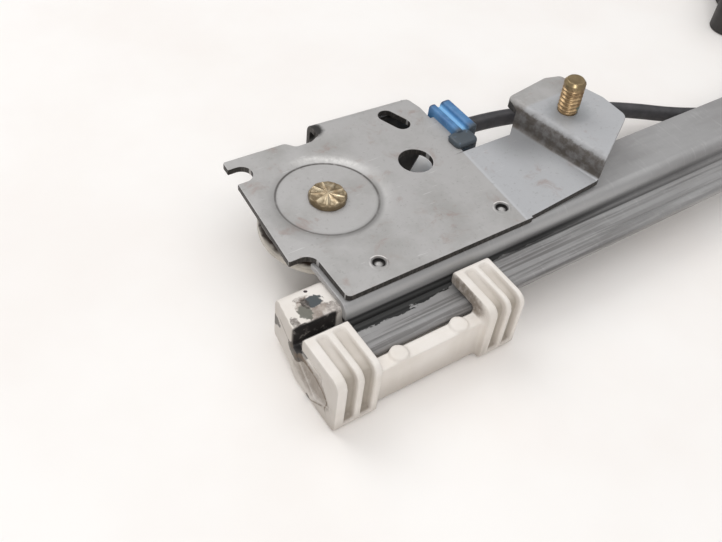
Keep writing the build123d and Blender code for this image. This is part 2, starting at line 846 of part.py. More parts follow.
# Slider: an inner block under the web, two ribbed jaws over the flange and a bar between them
block_top_z = web_bottom_z - slide_gap
block_back_y = -(pulley_radius + block_back_gap)
block_front_y = web_front_y + rail_sheet + slide_gap
slot_floor_z = hem_bottom_z - slide_gap
slot_front_y = flange_front_y - slide_gap
slot_top_z = hem_top_z + slide_gap
jaw_top_z = slot_top_z + jaw_roof
jaw_front_y = slot_front_y - jaw_wall
jaw_back_y = web_front_y - jaw_back_gap
bar_back_y = flange_front_y - bar_set_back
bar_front_y = bar_back_y - bar_thickness
near_jaw_end_x = slider_start_x + near_jaw_length
far_jaw_start_x = slider_end_x - far_jaw_length
with BuildPart() as slider:
    with BuildSketch(Plane.YZ.offset(slider_start_x)):
        with BuildLine():
            FilletPolyline(
                (block_foot_y, 0),
                (block_lift_end_y, block_lift),
                (block_back_y, block_lift),
                (block_back_y, block_top_z),
                (block_front_y, block_top_z),
                (block_front_y, slot_floor_z),
                (slot_front_y, slot_floor_z),
                (slot_front_y, slot_top_z),
                (jaw_back_y, slot_top_z),
                (jaw_back_y, jaw_top_z),
                (jaw_front_y, jaw_top_z),
                (jaw_front_y, 0),
                radius=[
                    slot_corner_round,
                    slot_corner_round,
                    slider_edge_round,
                    block_round,
                    slider_edge_round,
                    slot_corner_round,
                    slot_corner_round,
                    slot_corner_round,
                    slider_edge_round,
                    slider_edge_round,
                    jaw_round,
                    jaw_foot_round,
                ],
                close=True,
            )
        make_face()
    extrude(amount=slider_length)
    # between the jaws only the bar stands outside the flange
    jaw_span = far_jaw_start_x - near_jaw_end_x
    with BuildSketch(Plane.YZ.offset(near_jaw_end_x)):
        with Locations((block_front_y, bar_top_z)):
            Rectangle(cut_reach, cut_reach, align=(Align.MAX, Align.MIN))
        with Locations((bar_back_y, slot_floor_z)):
            Rectangle(slot_front_y - bar_back_y, cut_reach, align=(Align.MIN, Align.MIN))
        with Locations((bar_front_y, 0)):
            Rectangle(cut_reach, cut_reach, align=(Align.MAX, Align.MIN))
        with Locations((0, 0)):
            Rectangle(cut_reach, bar_lift, align=(Align.MAX, Align.MIN))
    extrude(amount=jaw_span, mode=Mode.SUBTRACT)
    nub_places = [(near_jaw_end_x + offset, slot_front_y - nub_radius) for offset in nub_offsets]
    with BuildSketch(Plane.XY.offset(bar_lift)):
        with Locations(nub_places):
            Circle(nub_radius)
    extrude(amount=bar_top_z + nub_rise - bar_lift)
    # grooves that leave ribs on the jaws: deepest at the outer corner and down the outer face
    groove_starts = [slider_start_x + share * near_jaw_length for share in groove_shares]
    groove_starts += [far_jaw_start_x + share * far_jaw_length for share in groove_shares]
    groove_start_y = jaw_back_y - rib_groove_set_back
    groove_inner_y = jaw_front_y + rib_groove_depth
    for groove_x in groove_starts:
        with BuildSketch(Plane.YZ.offset(groove_x)):
            with BuildLine():
                FilletPolyline(
                    (groove_start_y, jaw_top_z + rib_groove_depth),
                    (groove_start_y, jaw_top_z - rib_groove_start_depth),
                    (groove_inner_y, jaw_top_z - rib_groove_depth),
                    (groove_inner_y, rib_groove_foot),
                    (jaw_front_y - rib_groove_depth, rib_groove_foot),
                    (jaw_front_y - rib_groove_depth, jaw_top_z + rib_groove_depth),
                    radius=[0, 0, rib_groove_round, 0, 0, 0],
                    close=True,
                )
            make_face()
        extrude(amount=rib_groove_width, mode=Mode.SUBTRACT)
    # the block narrows towards its back at the near end
    with BuildSketch(Plane.XY):
        with BuildLine():
            Polyline(
                (slider_start_x, block_taper_y),
                (slider_start_x + block_taper, block_back_y),
                (slider_start_x, block_back_y),
                close=True,
            )
        make_face()
    extrude(amount=block_top_z, mode=Mode.SUBTRACT)
    # shallow recess in the near end, below the slot
    with BuildSketch(Plane.YZ.offset(slider_start_x)):
        with BuildLine():
            Polyline(*end_recess, close=True)
        make_face()
    extrude(amount=end_recess_depth, mode=Mode.SUBTRACT)
    # pockets under the slider, one each side of a middle rib
    pocket_y = (block_back_y + bar_back_y) / 2
    pocket_x = (near_jaw_end_x + far_jaw_start_x) / 2
    with BuildSketch(Plane.XY):
        with Locations((pocket_x, pocket_y)):
            with GridLocations(pocket_length + pocket_rib, 0, 2, 1):
                Rectangle(pocket_length, pocket_width)
    extrude(amount=pocket_height, mode=Mode.SUBTRACT)
    # cable anchor on the block's back, past the pulley at rest
    anchor_x = slider_end_x - anchor_length
    with BuildSketch(Plane.XY.offset(anchor_bottom_z)):
        with Locations((anchor_x, block_back_y - anchor_root)):
            anchor_depth = anchor_back - cable_pitch_radius - block_back_y + anchor_root
            Rectangle(anchor_length, anchor_depth, align=(Align.MIN, Align.MIN))
    extrude(amount=block_top_z - anchor_bottom_z)
    with BuildSketch(Plane.YZ.offset(anchor_x + anchor_wall)):
        with Locations((-cable_pitch_radius, cable_z)):
            Circle(nipple_radius + running_gap)
    extrude(amount=anchor_length - 2 * anchor_wall, mode=Mode.SUBTRACT)
    with BuildSketch(Plane.YZ.offset(anchor_x)):
        with Locations((-cable_pitch_radius, cable_z)):
            Circle(cable_radius + cable_gap)
            Rectangle(2 * anchor_back, 2 * (cable_radius + cable_gap), align=(Align.MIN, Align.CENTER))
    extrude(amount=anchor_length, mode=Mode.SUBTRACT)
    insert_places = [
        (slider_start_x + near_jaw_length / 2, insert_y),
        (slider_end_x - far_jaw_length / 2, insert_y),
    ]
    with BuildSketch(Plane.XY):
        with Locations(insert_places):
            Circle(insert_radius)
    extrude(amount=insert_length, mode=Mode.SUBTRACT)
slider.part.label = "slider"

with BuildPart() as glass_inserts:
    with BuildSketch(Plane.XY):
        with Locations(insert_places):
            Circle(insert_radius)
            Circle(insert_bore_radius, mode=Mode.SUBTRACT)
    extrude(amount=insert_length)
glass_inserts.part.label = "glass_inserts"

with BuildPart() as cable_nipples:
    nipple_gap = anchor_length - 2 * anchor_wall - 2 * nipple_length
    for nipple_x in [anchor_x + anchor_wall, anchor_x + anchor_wall + nipple_length + nipple_gap]:
        with BuildSketch(Plane.YZ.offset(nipple_x)):
            with Locations((-cable_pitch_radius, cable_z)):
                Circle(nipple_radius)
                Circle(cable_radius + cable_gap, mode=Mode.SUBTRACT)
        extrude(amount=nipple_length)
cable_nipples.part.label = "cable_nipples"

# Drum housing
drum_centre = (drum_x, drum_y)
ear_places = [
    (
        drum_x + ear_circle_radius * math.cos(math.radians(angle)),
        drum_y + ear_circle_radius * math.sin(math.radians(angle)),
    )
    for angle in ear_angles
]
screw_places = [
    (
        drum_x + screw_circle_radius * math.cos(math.radians(angle)),
        drum_y + screw_circle_radius * math.sin(math.radians(angle)),
    )
    for angle in screw_angles
]
screw_seat_z = housing_top_z
screw_tip_z = screw_seat_z - screw_length
ports = [(-1, low_groove_z), (1, high_groove_z)]


def port_plane(side, height, distance):
    """Plane square to a port, at a distance from the drum's axis, facing into the housing."""
    return Plane(
        origin=(drum_x + side * distance, entry_y, height),
        x_dir=(0, 1, 0),
        z_dir=(-side, 0, 0),
    )


with BuildPart() as drum_housing:
    with BuildSketch(Plane.XY):
        with Locations(drum_centre):
            Circle(housing_radius)
        with Locations(screw_places):
            Circle(screw_boss_radius)
        for angle in ear_angles:
            with Locations(Location((drum_x, drum_y), angle)):
                Rectangle(ear_circle_radius, ear_web_width, align=(Align.MIN, Align.CENTER))
    extrude(amount=housing_height)
    with BuildSketch(Plane.XY):
        with Locations(ear_places):
            Circle(ear_radius)
    extrude(amount=housing_top_z)
    for side, height in ports:
        with BuildSketch(port_plane(side, height, port_mouth)):
            Circle(port_radius)
        extrude(amount=port_mouth - port_seat + 2 * housing_wall)
    with BuildSketch(Plane.XY.offset(housing_floor)):
        with Locations(drum_centre):
            Circle(housing_inner_radius)
    extrude(amount=housing_top_z, mode=Mode.SUBTRACT)
    with BuildSketch(Plane.XY.offset(housing_floor)):
        with Locations(drum_centre):
            Circle(bearing_ring_radius)
            Circle(drum_hub_radius + running_gap, mode=Mode.SUBTRACT)
    extrude(amount=bearing_ring_height)
    for side, height in ports:
        with BuildSketch(port_plane(side, height, port_mouth)):
            Circle(port_bore_radius)
        extrude(amount=port_mouth - port_seat, mode=Mode.SUBTRACT)
        with BuildSketch(port_plane(side, height, port_seat)):
            Circle(conduit_bore_radius)
        extrude(amount=4 * housing_wall, mode=Mode.SUBTRACT)
    with BuildSketch(Plane.XY):
        with Locations(ear_places):
            Circle(sleeve_radius)
    extrude(amount=housing_top_z, mode=Mode.SUBTRACT)
    with BuildSketch(Plane.XY.offset(screw_tip_z)):
        with Locations(screw_places):
            Circle(screw_radius)
    extrude(amount=housing_top_z, mode=Mode.SUBTRACT)
drum_housing.part.label = "drum_housing"

with BuildPart() as drum_cover:
    with BuildSketch(Plane.XY.offset(housing_height)):
        with Locations(drum_centre):
            Circle(housing_radius)
        with Locations(screw_places):
            Circle(screw_boss_radius)
        with Locations(drum_centre):
            Circle(drum_hub_radius + running_gap, mode=Mode.SUBTRACT)
        with Locations(screw_places):
            Circle(screw_radius, mode=Mode.SUBTRACT)
    extrude(amount=cover_thickness)
drum_cover.part.label = "drum_cover"

with BuildPart() as housing_screws:
    with BuildSketch(Plane.XY.offset(screw_tip_z)):
        with Locations(screw_places):
            Circle(screw_radius)
    extrude(amount=screw_length)
    with BuildSketch(Plane.XY.offset(screw_seat_z)):
        with Locations(screw_places):
            Circle(screw_head_radius)
    extrude(amount=screw_head_height)
    fillet(housing_screws.faces().sort_by(Axis.Z)[-3:].edges(), head_round_share * screw_head_height)
housing_screws.part.label = "housing_screws"

with BuildPart() as mounting_sleeves:
    with BuildSketch(Plane.XY):
        with Locations(ear_places):
            Circle(sleeve_radius)
            Circle(sleeve_bore_radius, mode=Mode.SUBTRACT)
    extrude(amount=housing_top_z)
mounting_sleeves.part.label = "mounting_sleeves"

# Cable drum with one groove for each cable, and the splined sleeve that the motor drives
drum_groove_floor = drum_pitch_radius - cable_radius - cable_gap
drum_profile = [(0, drum_hub_bottom_z), (drum_hub_radius, drum_hub_bottom_z)]
drum_profile += [(drum_hub_radius, drum_flange_bottom_z), (drum_flange_radius, drum_flange_bottom_z)]
for height in drum_groove_heights:
    drum_profile += [
        (drum_flange_radius, height - groove_mouth_half),
        (drum_groove_floor, height - groove_floor_half),
        (drum_groove_floor, height + groove_floor_half),
        (drum_flange_radius, height + groove_mouth_half),
    ]
drum_profile += [(drum_flange_radius, drum_flange_top_z), (drum_hub_radius, drum_flange_top_z)]
drum_profile += [(drum_hub_radius, housing_top_z), (0, housing_top_z)]
drum_plane = Plane(origin=(drum_x, drum_y, 0), x_dir=(1, 0, 0), z_dir=(0, -1, 0))
drum_axis = Axis((drum_x, drum_y, 0), (0, 0, 1))
nipple_pocket_depth = drum_flange_top_z - high_groove_z + cable_radius
with BuildPart() as cable_drum:
    with BuildSketch(drum_plane):
        with BuildLine():
            Polyline(*drum_profile, close=True)
        make_face()
    revolve(axis=drum_axis)
    with Locations((drum_x, drum_y, housing_top_z)):
        Hole(socket_sleeve_radius, depth=housing_top_z - socket_floor_z)
    with BuildSketch(Plane.XY.offset(drum_flange_top_z)):
        with Locations(drum_centre):
            with PolarLocations(drum_nipple_circle, 2):
                Circle(drum_nipple_radius + running_gap)
    extrude(amount=-nipple_pocket_depth, mode=Mode.SUBTRACT)
cable_drum.part.label = "cable_drum"

with BuildPart() as drum_nipples:
    with BuildSketch(Plane.XY.offset(drum_flange_top_z)):
        with Locations(drum_centre):
            with PolarLocations(drum_nipple_circle, 2):
                Circle(drum_nipple_radius)
    extrude(amount=-nipple_pocket_depth)
drum_nipples.part.label = "drum_nipples"

with BuildPart() as drive_sleeve:
    with BuildSketch(Plane.XY.offset(socket_floor_z)):
        with Locations(drum_centre):
            Circle(socket_sleeve_radius)
            Circle(socket_radius, mode=Mode.SUBTRACT)
            with PolarLocations(socket_radius, keyway_count):
                Rectangle(2 * keyway_depth, keyway_width, mode=Mode.SUBTRACT)
    extrude(amount=housing_top_z - socket_floor_z)
drive_sleeve.part.label = "drive_sleeve"

# Conduit ends in the ports: a sleeve on each conduit, pushed out by a spring
sleeve_end = port_mouth - port_grip - sleeve_stop_length
port_pieces = []
for end_name, (side, height) in zip("ab", ports):
    with BuildPart() as port_sleeve:
        with BuildSketch(port_plane(side, height, port_mouth + port_collar_length)):
            Circle(port_radius)
            Circle(conduit_radius, mode=Mode.SUBTRACT)
        extrude(amount=port_collar_length)
        with BuildSketch(port_plane(side, height, port_mouth)):
            Circle(port_bore_radius)
            Circle(conduit_radius, mode=Mode.SUBTRACT)
        extrude(amount=port_grip)
        with BuildSketch(port_plane(side, height, port_mouth - port_grip)):
            Circle(port_bore_radius)
            Circle(conduit_bore_radius, mode=Mode.SUBTRACT)
        extrude(amount=sleeve_stop_length)
    port_sleeve.part.label = f"port_sleeve_{end_name}"
    with BuildPart() as port_spring:
        with BuildSketch(port_plane(side, height, sleeve_end)):
            Circle(port_bore_radius)
            Circle(spring_bore_radius, mode=Mode.SUBTRACT)
        extrude(amount=sleeve_end - port_seat)
    port_spring.part.label = f"port_spring_{end_name}"
    port_pieces += [port_sleeve, port_spring]

# The finished part has its origin under the middle of its box, on the bench
pieces = [
    guide_rail,
    pulley_plate_a,
    pulley_plate_b,
    stud_a,
    stud_b,
    pulley_a,
    pulley_b,
    pulley_rivet_a,
    pulley_rivet_b,
    cable_guard_a,
    cable_guard_b,
    conduit_clip_a,
    conduit_clip_b,
    ferrule_a,
    ferrule_b,
    conduit_a,
    conduit_b,
    cable_a,
    cable_b,
    slider,
    glass_inserts,
    cable_nipples,
    drum_housing,
    drum_cover,
    housing_screws,
    mounting_sleeves,
    cable_drum,
    drum_nipples,
    drive_sleeve,
    *port_pieces,
]
box = Compound([piece.part for piece in pieces]).bounding_box()
origin_x = (box.min.X + box.max.X) / 2
origin_y = (box.min.Y + box.max.Y) / 2
print("box", box.min, box.max, "origin", origin_x, origin_y)
for piece in pieces:
    name = piece.part.label
    placed = piece.part.moved(Location((-origin_x, -origin_y, -box.min.Z)))
    placed.label = name
    export_step(placed, f"parts/{name}.step")
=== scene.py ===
import math

import bmesh
import bpy
import numpy as np
from mathutils import Matrix, Vector


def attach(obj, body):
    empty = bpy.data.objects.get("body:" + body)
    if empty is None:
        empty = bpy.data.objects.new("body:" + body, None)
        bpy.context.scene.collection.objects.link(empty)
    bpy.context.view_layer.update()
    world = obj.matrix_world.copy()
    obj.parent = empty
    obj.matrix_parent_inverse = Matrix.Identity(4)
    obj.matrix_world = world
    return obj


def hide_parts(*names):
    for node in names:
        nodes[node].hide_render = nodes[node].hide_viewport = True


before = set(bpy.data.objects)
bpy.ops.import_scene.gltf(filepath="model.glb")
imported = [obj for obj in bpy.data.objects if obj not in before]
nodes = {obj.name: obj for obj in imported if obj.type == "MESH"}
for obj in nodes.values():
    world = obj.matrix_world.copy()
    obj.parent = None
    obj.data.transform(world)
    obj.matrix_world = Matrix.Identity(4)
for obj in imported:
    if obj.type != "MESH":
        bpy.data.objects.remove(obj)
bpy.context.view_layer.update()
print("frame loaded,", len(nodes), "nodes")

mm = 0.001
# sizes are in millimetres from the near pulley's axis on the bench, with the rail along x
pulleyAxis = np.array([196.5, 6.3724, 0.0])


# those millimetres to metres in the row frame
def toRow(points):
    return (np.asarray(points, float) - pulleyAxis) * mm


# a screen colour of 0 to 255 as the linear colour that a shader takes
def tone(red, green, blue):
    share = np.array([red, green, blue]) / 255
    linear = np.where(share <= 0.04045, share / 12.92, ((share + 0.055) / 1.055) ** 2.4)
    return (*linear.tolist(), 1.0)


# a new object in the scene
def addObject(name, data):
    made = bpy.data.objects.new(name, data)
    bpy.context.scene.collection.objects.link(made)
    return made


cameraSetup = {
    "place": (-93.9, -133.7, 168.0),
    "right": (0.8326, -0.5463, 0.0912),
    "down": (-0.3511, -0.6480, -0.6759),
    "ahead": (0.4283, 0.5308, -0.7313),
    "focalPixels": 870.0,
    "widthPixels": 722.0,
    "sensor": 36.0,
    "clip": (0.01, 20.0),
}
cameraData = bpy.data.cameras.new("photoCamera")
cameraData.sensor_width = cameraSetup["sensor"]
cameraData.lens = cameraSetup["focalPixels"] / cameraSetup["widthPixels"] * cameraData.sensor_width
cameraData.clip_start, cameraData.clip_end = cameraSetup["clip"]
camera = addObject("photoCamera", cameraData)
right, down, ahead = (np.array(cameraSetup[key]) for key in ("right", "down", "ahead"))
turned = Matrix(np.column_stack([right, -down, -ahead]).tolist()).to_4x4()
camera.matrix_world = Matrix.Translation(toRow(cameraSetup["place"])) @ turned
bpy.context.scene.camera = camera
bpy.context.scene.view_settings.view_transform = "Standard"

lamps = {
    "window": {"place": (-0.35, 0.75, 0.85), "size": 0.7, "power": 4.6},
    "above": {"place": (0.15, -0.1, 1.1), "size": 1.4, "power": 5.6},
    "front": {"place": (-0.75, -0.68, 0.76), "size": 0.35, "power": 3.5},
}
lampAim = (-0.1, -0.01, 0.0)
for lampName, lamp in lamps.items():
    lampData = bpy.data.lights.new(lampName, "AREA")
    lampData.size, lampData.energy = lamp["size"], lamp["power"]
    lampObject = addObject(lampName, lampData)
    towards = Vector(lampAim) - Vector(lamp["place"])
    lampTurn = towards.to_track_quat("-Z", "Y").to_matrix().to_4x4()
    lampObject.matrix_world = Matrix.Translation(lamp["place"]) @ lampTurn

studio = {"tone": (252, 252, 255), "strength": 0.38}
world = bpy.data.worlds.new("studio")
world.use_nodes = True
background = world.node_tree.nodes["Background"].inputs
background["Color"].default_value = tone(*studio["tone"])
background["Strength"].default_value = studio["strength"]
bpy.context.scene.world = world


# a shader node in the tree of its linked inputs, each input a value or another node's output
def addNode(kind, inputs, tree=None, **settings):
    linked = {key: each for key, each in inputs.items() if isinstance(each, bpy.types.NodeSocket)}
    tree = tree or next(iter(linked.values())).id_data
    made = tree.nodes.new(kind)
    for key, value in settings.items():
        setattr(made, key, value)
    for key, value in inputs.items():
        if key in linked:
            tree.links.new(value, made.inputs[key])
        else:
            made.inputs[key].default_value = value
    return made


# a Principled material with its shader and the place on it in millimetres
def startMaterial(name, **fixed):
    material = bpy.data.materials.new(name)
    material.use_nodes = True
    tree = material.node_tree
    shader = tree.nodes["Principled BSDF"]
    for key, value in fixed.items():
        shader.inputs[key].default_value = value
    coords = addNode("ShaderNodeTexCoord", {}, tree).outputs["Object"]
    settings = {"Vector": coords, "Location": pulleyAxis.tolist(), "Scale": (1000, 1000, 1000)}
    place = addNode("ShaderNodeMapping", settings).outputs[0]
    return material, shader, place


# noise whose blobs are about grain millimetres across, longer along an axis by its stretch
def cloud(place, grain, detail=3.0, roughness=0.55, stretch=(1, 1, 1), warp=0.0):
    scale = [1 / (grain * times) for times in stretch]
    scaled = addNode("ShaderNodeMapping", {"Vector": place, "Scale": scale}).outputs[0]
    settings = {"Vector": scaled, "Scale": 1.0, "Detail": detail, "Roughness": roughness}
    settings["Distortion"] = warp
    return addNode("ShaderNodeTexNoise", settings).outputs["Fac"]


# start under low, end over high, a smooth step in between
def between(value, low, high, start=0.0, end=1.0):
    settings = {"Value": value, "From Min": low, "From Max": high, "To Min": start, "To Max": end}
    return addNode("ShaderNodeMapRange", settings, interpolation_type="SMOOTHSTEP").outputs[0]


# 1 under low, 0 over high, a smooth step in between
def below(value, low, high):
    return between(value, low, high, 1.0, 0.0)


# first and second joined by the named operation
def sums(operation, first, second=0.5):
    return addNode("ShaderNodeMath", {0: first, 1: second}, operation=operation).outputs[0]


# product of masks
def both(*masks):
    made = masks[0]
    for mask in masks[1:]:
        made = sums("MULTIPLY", made, mask)
    return made


# largest of masks
def either(*masks):
    made = masks[0]
    for mask in masks[1:]:
        made = sums("MAXIMUM", made, mask)
    return made


# dot product with a fixed direction
def along(vector, direction):
    made = addNode("ShaderNodeVectorMath", {0: vector, 1: direction}, operation="DOT_PRODUCT")
    return made.outputs["Value"]


# x, y and z of a place
def axesOf(place):
    parts = addNode("ShaderNodeSeparateXYZ", {0: place}).outputs
    return parts[0], parts[1], parts[2]


# 1 between low and high, 0 outside, soft edges
def band(value, low, high, soft):
    rise = between(value, low - soft, low + soft)
    return both(rise, below(value, high - soft, high + soft))


# distance from a centre, each axis measured in units of its reach
def farFrom(place, centre, reach):
    away = place
    for operation, other in (("SUBTRACT", centre), ("DIVIDE", reach)):
        step = addNode("ShaderNodeVectorMath", {0: away, 1: other}, operation=operation)
        away = step.outputs[0]
    return addNode("ShaderNodeVectorMath", {0: away}, operation="LENGTH").outputs["Value"]


# 1 inside an ellipsoid whose outline wanders with noise, 0 outside
def spot(place, centre, reach, ragged=0.5, soft=0.12, grain=2.0):
    wander = sums("SUBTRACT", cloud(place, grain, 4.0, 0.6), 0.5)
    far = farFrom(place, centre, reach)
    far = sums("ADD", far, sums("MULTIPLY", wander, 2 * ragged))
    return below(far, 1 - soft, 1 + soft)


# first where the amount is 0, second where it is 1, their weighted mean in between
def blendTones(amount, first, second):
    return addNode("ShaderNodeMix", {0: amount, 6: first, 7: second}, data_type="RGBA").outputs[2]


# a screen colour laid over the colour, as strong as the mask
def paint(colour, mask, shade):
    return blendTones(mask, colour, tone(*shade))


# a colour that drifts from the first to the second screen colour as the noise goes from low to high
def drift(noise, low, high, first, second):
    return blendTones(between(noise, low, high), tone(*first), tone(*second))


# links what varies over the surface; depth is the bump's height in millimetres
def joinUp(shader, colour, roughness=None, height=None, depth=0.02, metallic=None):
    links = shader.id_data.links
    for key, value in (("Base Color", colour), ("Roughness", roughness), ("Metallic", metallic)):
        if value is not None:
            links.new(value, shader.inputs[key])
    if height is not None:
        bump = addNode("ShaderNodeBump", {"Height": height, "Distance": depth * mm})
        links.new(bump.outputs[0], shader.inputs["Normal"])


# puts a mesh into the scene as a piece that rides on a body
def showPiece(name, mesh, body, slotName, materials, *replaced):
    for material in materials:
        mesh.materials.append(material)
    piece = addObject(name, mesh)
    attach(piece, body)
    if replaced:
        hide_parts(*replaced)
    return piece


# rounds the chosen edges off by width millimetres and keeps the flat faces flat
def softEdges(piece, width, segments=2):
    bevel = piece.modifiers.new("softEdges", "BEVEL")
    bevel.width, bevel.segments = width * mm, segments
    bevel.limit_method = "WEIGHT"
    bevel.use_clamp_overlap = False
    bevel.harden_normals = True
    piece.modifiers.new("flatFaces", "WEIGHTED_NORMAL").keep_sharp = False


merging = {
    "join": 2e-6,
    "flatTurn": math.radians(0.05),
    "sharpTurn": math.radians(28),
    "upright": 0.2,
    "facing": 0.99,
    "nearRing": 0.05,
    "roundSteps": 6,
}


# A CAD node's mesh with its triangles merged and its flat faces joined. Faces within the boxes get
# material 1, and so do upright faces whose height lies within edgeHeights, unless they face along
# spared. Rings are rounded: centre, radius, height, width of the round. Sharp edges get a bevel
# weight, save those near the sore points.
def mergedCopy(node, edgeHeights=None, boxes=(), rings=(), sore=(), spared=(0, 0, 1)):
    mesh = bpy.data.meshes.new(node + "Merged")
    bm = bmesh.new()
    bm.from_mesh(nodes[node].data)
    bmesh.ops.remove_doubles(bm, verts=bm.verts, dist=merging["join"])
    straight = {"verts": bm.verts, "edges": bm.edges}
    bmesh.ops.dissolve_limit(bm, angle_limit=merging["flatTurn"], **straight)
    boxCorners = [(toRow(low), toRow(high)) for low, high in boxes]
    for face in bm.faces:
        face.material_index = 0
        middle = np.array(face.calc_center_median())
        if any((low < middle).all() and (middle < high).all() for low, high in boxCorners):
            face.material_index = 1
        if edgeHeights is not None and abs(face.normal.z) < merging["upright"]:
            heights = [vert.co.z / mm for vert in face.verts]
            facesOn = face.normal.dot(Vector(spared)) > merging["facing"]
            if edgeHeights[0] < max(heights) - min(heights) < edgeHeights[1] and not facesOn:
                face.material_index = 1
    for centre, radius, height, width in rings:
        middle = toRow(centre)

        def onRing(vert):
            far = math.hypot(vert.co.x - middle[0], vert.co.y - middle[1]) / mm
            offHeight = abs(vert.co.z / mm - height)
            return max(abs(far - radius), offHeight) < merging["nearRing"]

        chosen = [edge for edge in bm.edges if all(onRing(vert) for vert in edge.verts)]
        settings = {"offset": width * mm, "segments": merging["roundSteps"], "profile": 0.5}
        settings["affect"] = "EDGES"
        bmesh.ops.bevel(bm, geom=chosen, clamp_overlap=False, **settings)
    weights = bm.edges.layers.float.new("bevel_weight_edge")
    sorePlaces = [(Vector(toRow(point)), reach * mm) for point, reach in sore]
    for edge in bm.edges:
        sharp = len(edge.link_faces) == 2 and edge.calc_face_angle(0.0) > merging["sharpTurn"]
        ends = [vert.co for vert in edge.verts]
        clear = all((end - point).length > reach for end in ends for point, reach in sorePlaces)
        edge[weights] = 1.0 if sharp and clear else 0.0
    for face in bm.faces:
        face.smooth = True
    bm.to_mesh(mesh)
    bm.free()
    if "custom_normal" in mesh.attributes:
        mesh.attributes.remove(mesh.attributes["custom_normal"])
    return mesh


# A closed skin over rings of points, an array of stations by points by three: quads between
# neighbours and at each end a fan to a pole, or one flat face, turned so that the enclosed volume
# is positive.
def ringMesh(name, rings, fans=True):
    count, around = rings.shape[:2]
    poles = rings[[0, -1]].mean(axis=1)
    points = np.vstack([rings.reshape(-1, 3), poles])
    row, column = np.meshgrid(np.arange(count - 1), np.arange(around), indexing="ij")
    after = (column + 1) % around
    cells = [row * around + column, row * around + after]
    cells += [(row + 1) * around + after, (row + 1) * around + column]
    quads = np.stack(cells, axis=-1).reshape(-1, 4)
    turn = np.arange(around)
    nextTurn = (turn + 1) % around
    last = (count - 1) * around
    bottom = np.stack([nextTurn, turn, np.full(around, count * around)], axis=-1)
    top = np.stack([last + turn, last + nextTurn, np.full(around, count * around + 1)], axis=-1)
    triangles = np.vstack([quads[:, [0, 1, 2]], quads[:, [0, 2, 3]], bottom, top])
    a, b, c = (points[triangles[:, k]] - points.mean(axis=0) for k in range(3))
    flatCaps = np.stack([turn[::-1], last + turn])
    if np.einsum("ij,ij->i", a, np.cross(b, c)).sum() < 0:
        quads, bottom, top, flatCaps = (faces[:, ::-1] for faces in (quads, bottom, top, flatCaps))
    caps = bottom.tolist() + top.tolist() if fans else flatCaps.tolist()
    if not fans:
        points = points[:-2]
    mesh = bpy.data.meshes.new(name)
    mesh.from_pydata((points * mm).tolist(), [], quads.tolist() + caps)
    mesh.polygons.foreach_set("use_smooth", np.ones(len(mesh.polygons), bool))
    return mesh


# angles evenly round a full turn
def fullTurn(count):
    return np.linspace(0, 2 * np.pi, count, endpoint=False)


# Rings round an axis through a centre: centre + height along the axis + radius times the unit
# circle square to it. Heights and radii are tables of stations by angles.
def turnedRings(heights, radii, centre, axis=(0, 0, 1)):
    axis = np.array(axis, float) / np.linalg.norm(axis)
    side = np.cross([0.0, 1.0, 0.0], axis)
    side /= np.linalg.norm(side)
    other = np.cross(axis, side)
    angle = fullTurn(heights.shape[1])
    circle = np.cos(angle)[:, None] * side + np.sin(angle)[:, None] * other
    middle = np.array(centre, float) - pulleyAxis
    return middle + heights[..., None] * axis + radii[..., None] * circle


# Rings along a line of points: line + radius times (cosine of the angle times the side + sine of
# the angle times the other side). Both are square to the tangent and the first to up as well.
def tubeRings(line, up, radii, around):
    tangent = np.gradient(line, axis=0)
    tangent /= np.linalg.norm(tangent, axis=1, keepdims=True)
    side = np.cross(tangent, up)
    side /= np.linalg.norm(side, axis=1, keepdims=True)
    other = np.cross(side, tangent)
    angle = fullTurn(around)[None, :, None]
    circle = np.cos(angle) * side[:, None] + np.sin(angle) * other[:, None]
    radii = np.broadcast_to(radii, (len(line), around))
    return line[:, None] - pulleyAxis + radii[..., None] * circle


# A closed outline with its corners rounded: at each corner the curve
# (1 - t)^2 start + 2 t (1 - t) corner + t^2 end, with start and end a radius away on its sides.
def roundedLoop(corners, radii, steps=5):
    corners = np.array(corners, float)
    radii = np.broadcast_to(np.array(radii, float), len(corners))[:, None]
    back, onward = np.roll(corners, 1, axis=0) - corners, np.roll(corners, -1, axis=0) - corners
    start = corners + radii * back / np.linalg.norm(back, axis=1, keepdims=True)
    end = corners + radii * onward / np.linalg.norm(onward, axis=1, keepdims=True)
    t = np.linspace(0, 1, steps)[None, :, None]
    curve = (1 - t) ** 2 * start[:, None] + t ** 2 * end[:, None]
    return (curve + 2 * t * (1 - t) * corners[:, None]).reshape(-1, 2)


floorLook = {"light": (250, 247, 243), "shade": (246, 241, 236), "reach": 2.5, "drop": 0.0002}
floorMaterial, shader, place = startMaterial("paleTable", Roughness=0.65)
joinUp(shader, drift(cloud(place, 70, 4.0), 0.3, 0.7, floorLook["light"], floorLook["shade"]))
floorMesh = bpy.data.meshes.new("floor")
floorCorners = np.array([(-1, -1), (1, -1), (1, 1), (-1, 1)]) * floorLook["reach"]
floorPoints = np.column_stack([floorCorners, np.full(4, -floorLook["drop"])])
floorMesh.from_pydata(floorPoints.tolist(), [], [(0, 1, 2, 3)])
floorMesh.materials.append(floorMaterial)
floor = addObject("floor", floorMesh)
print("camera, light and floor placed")


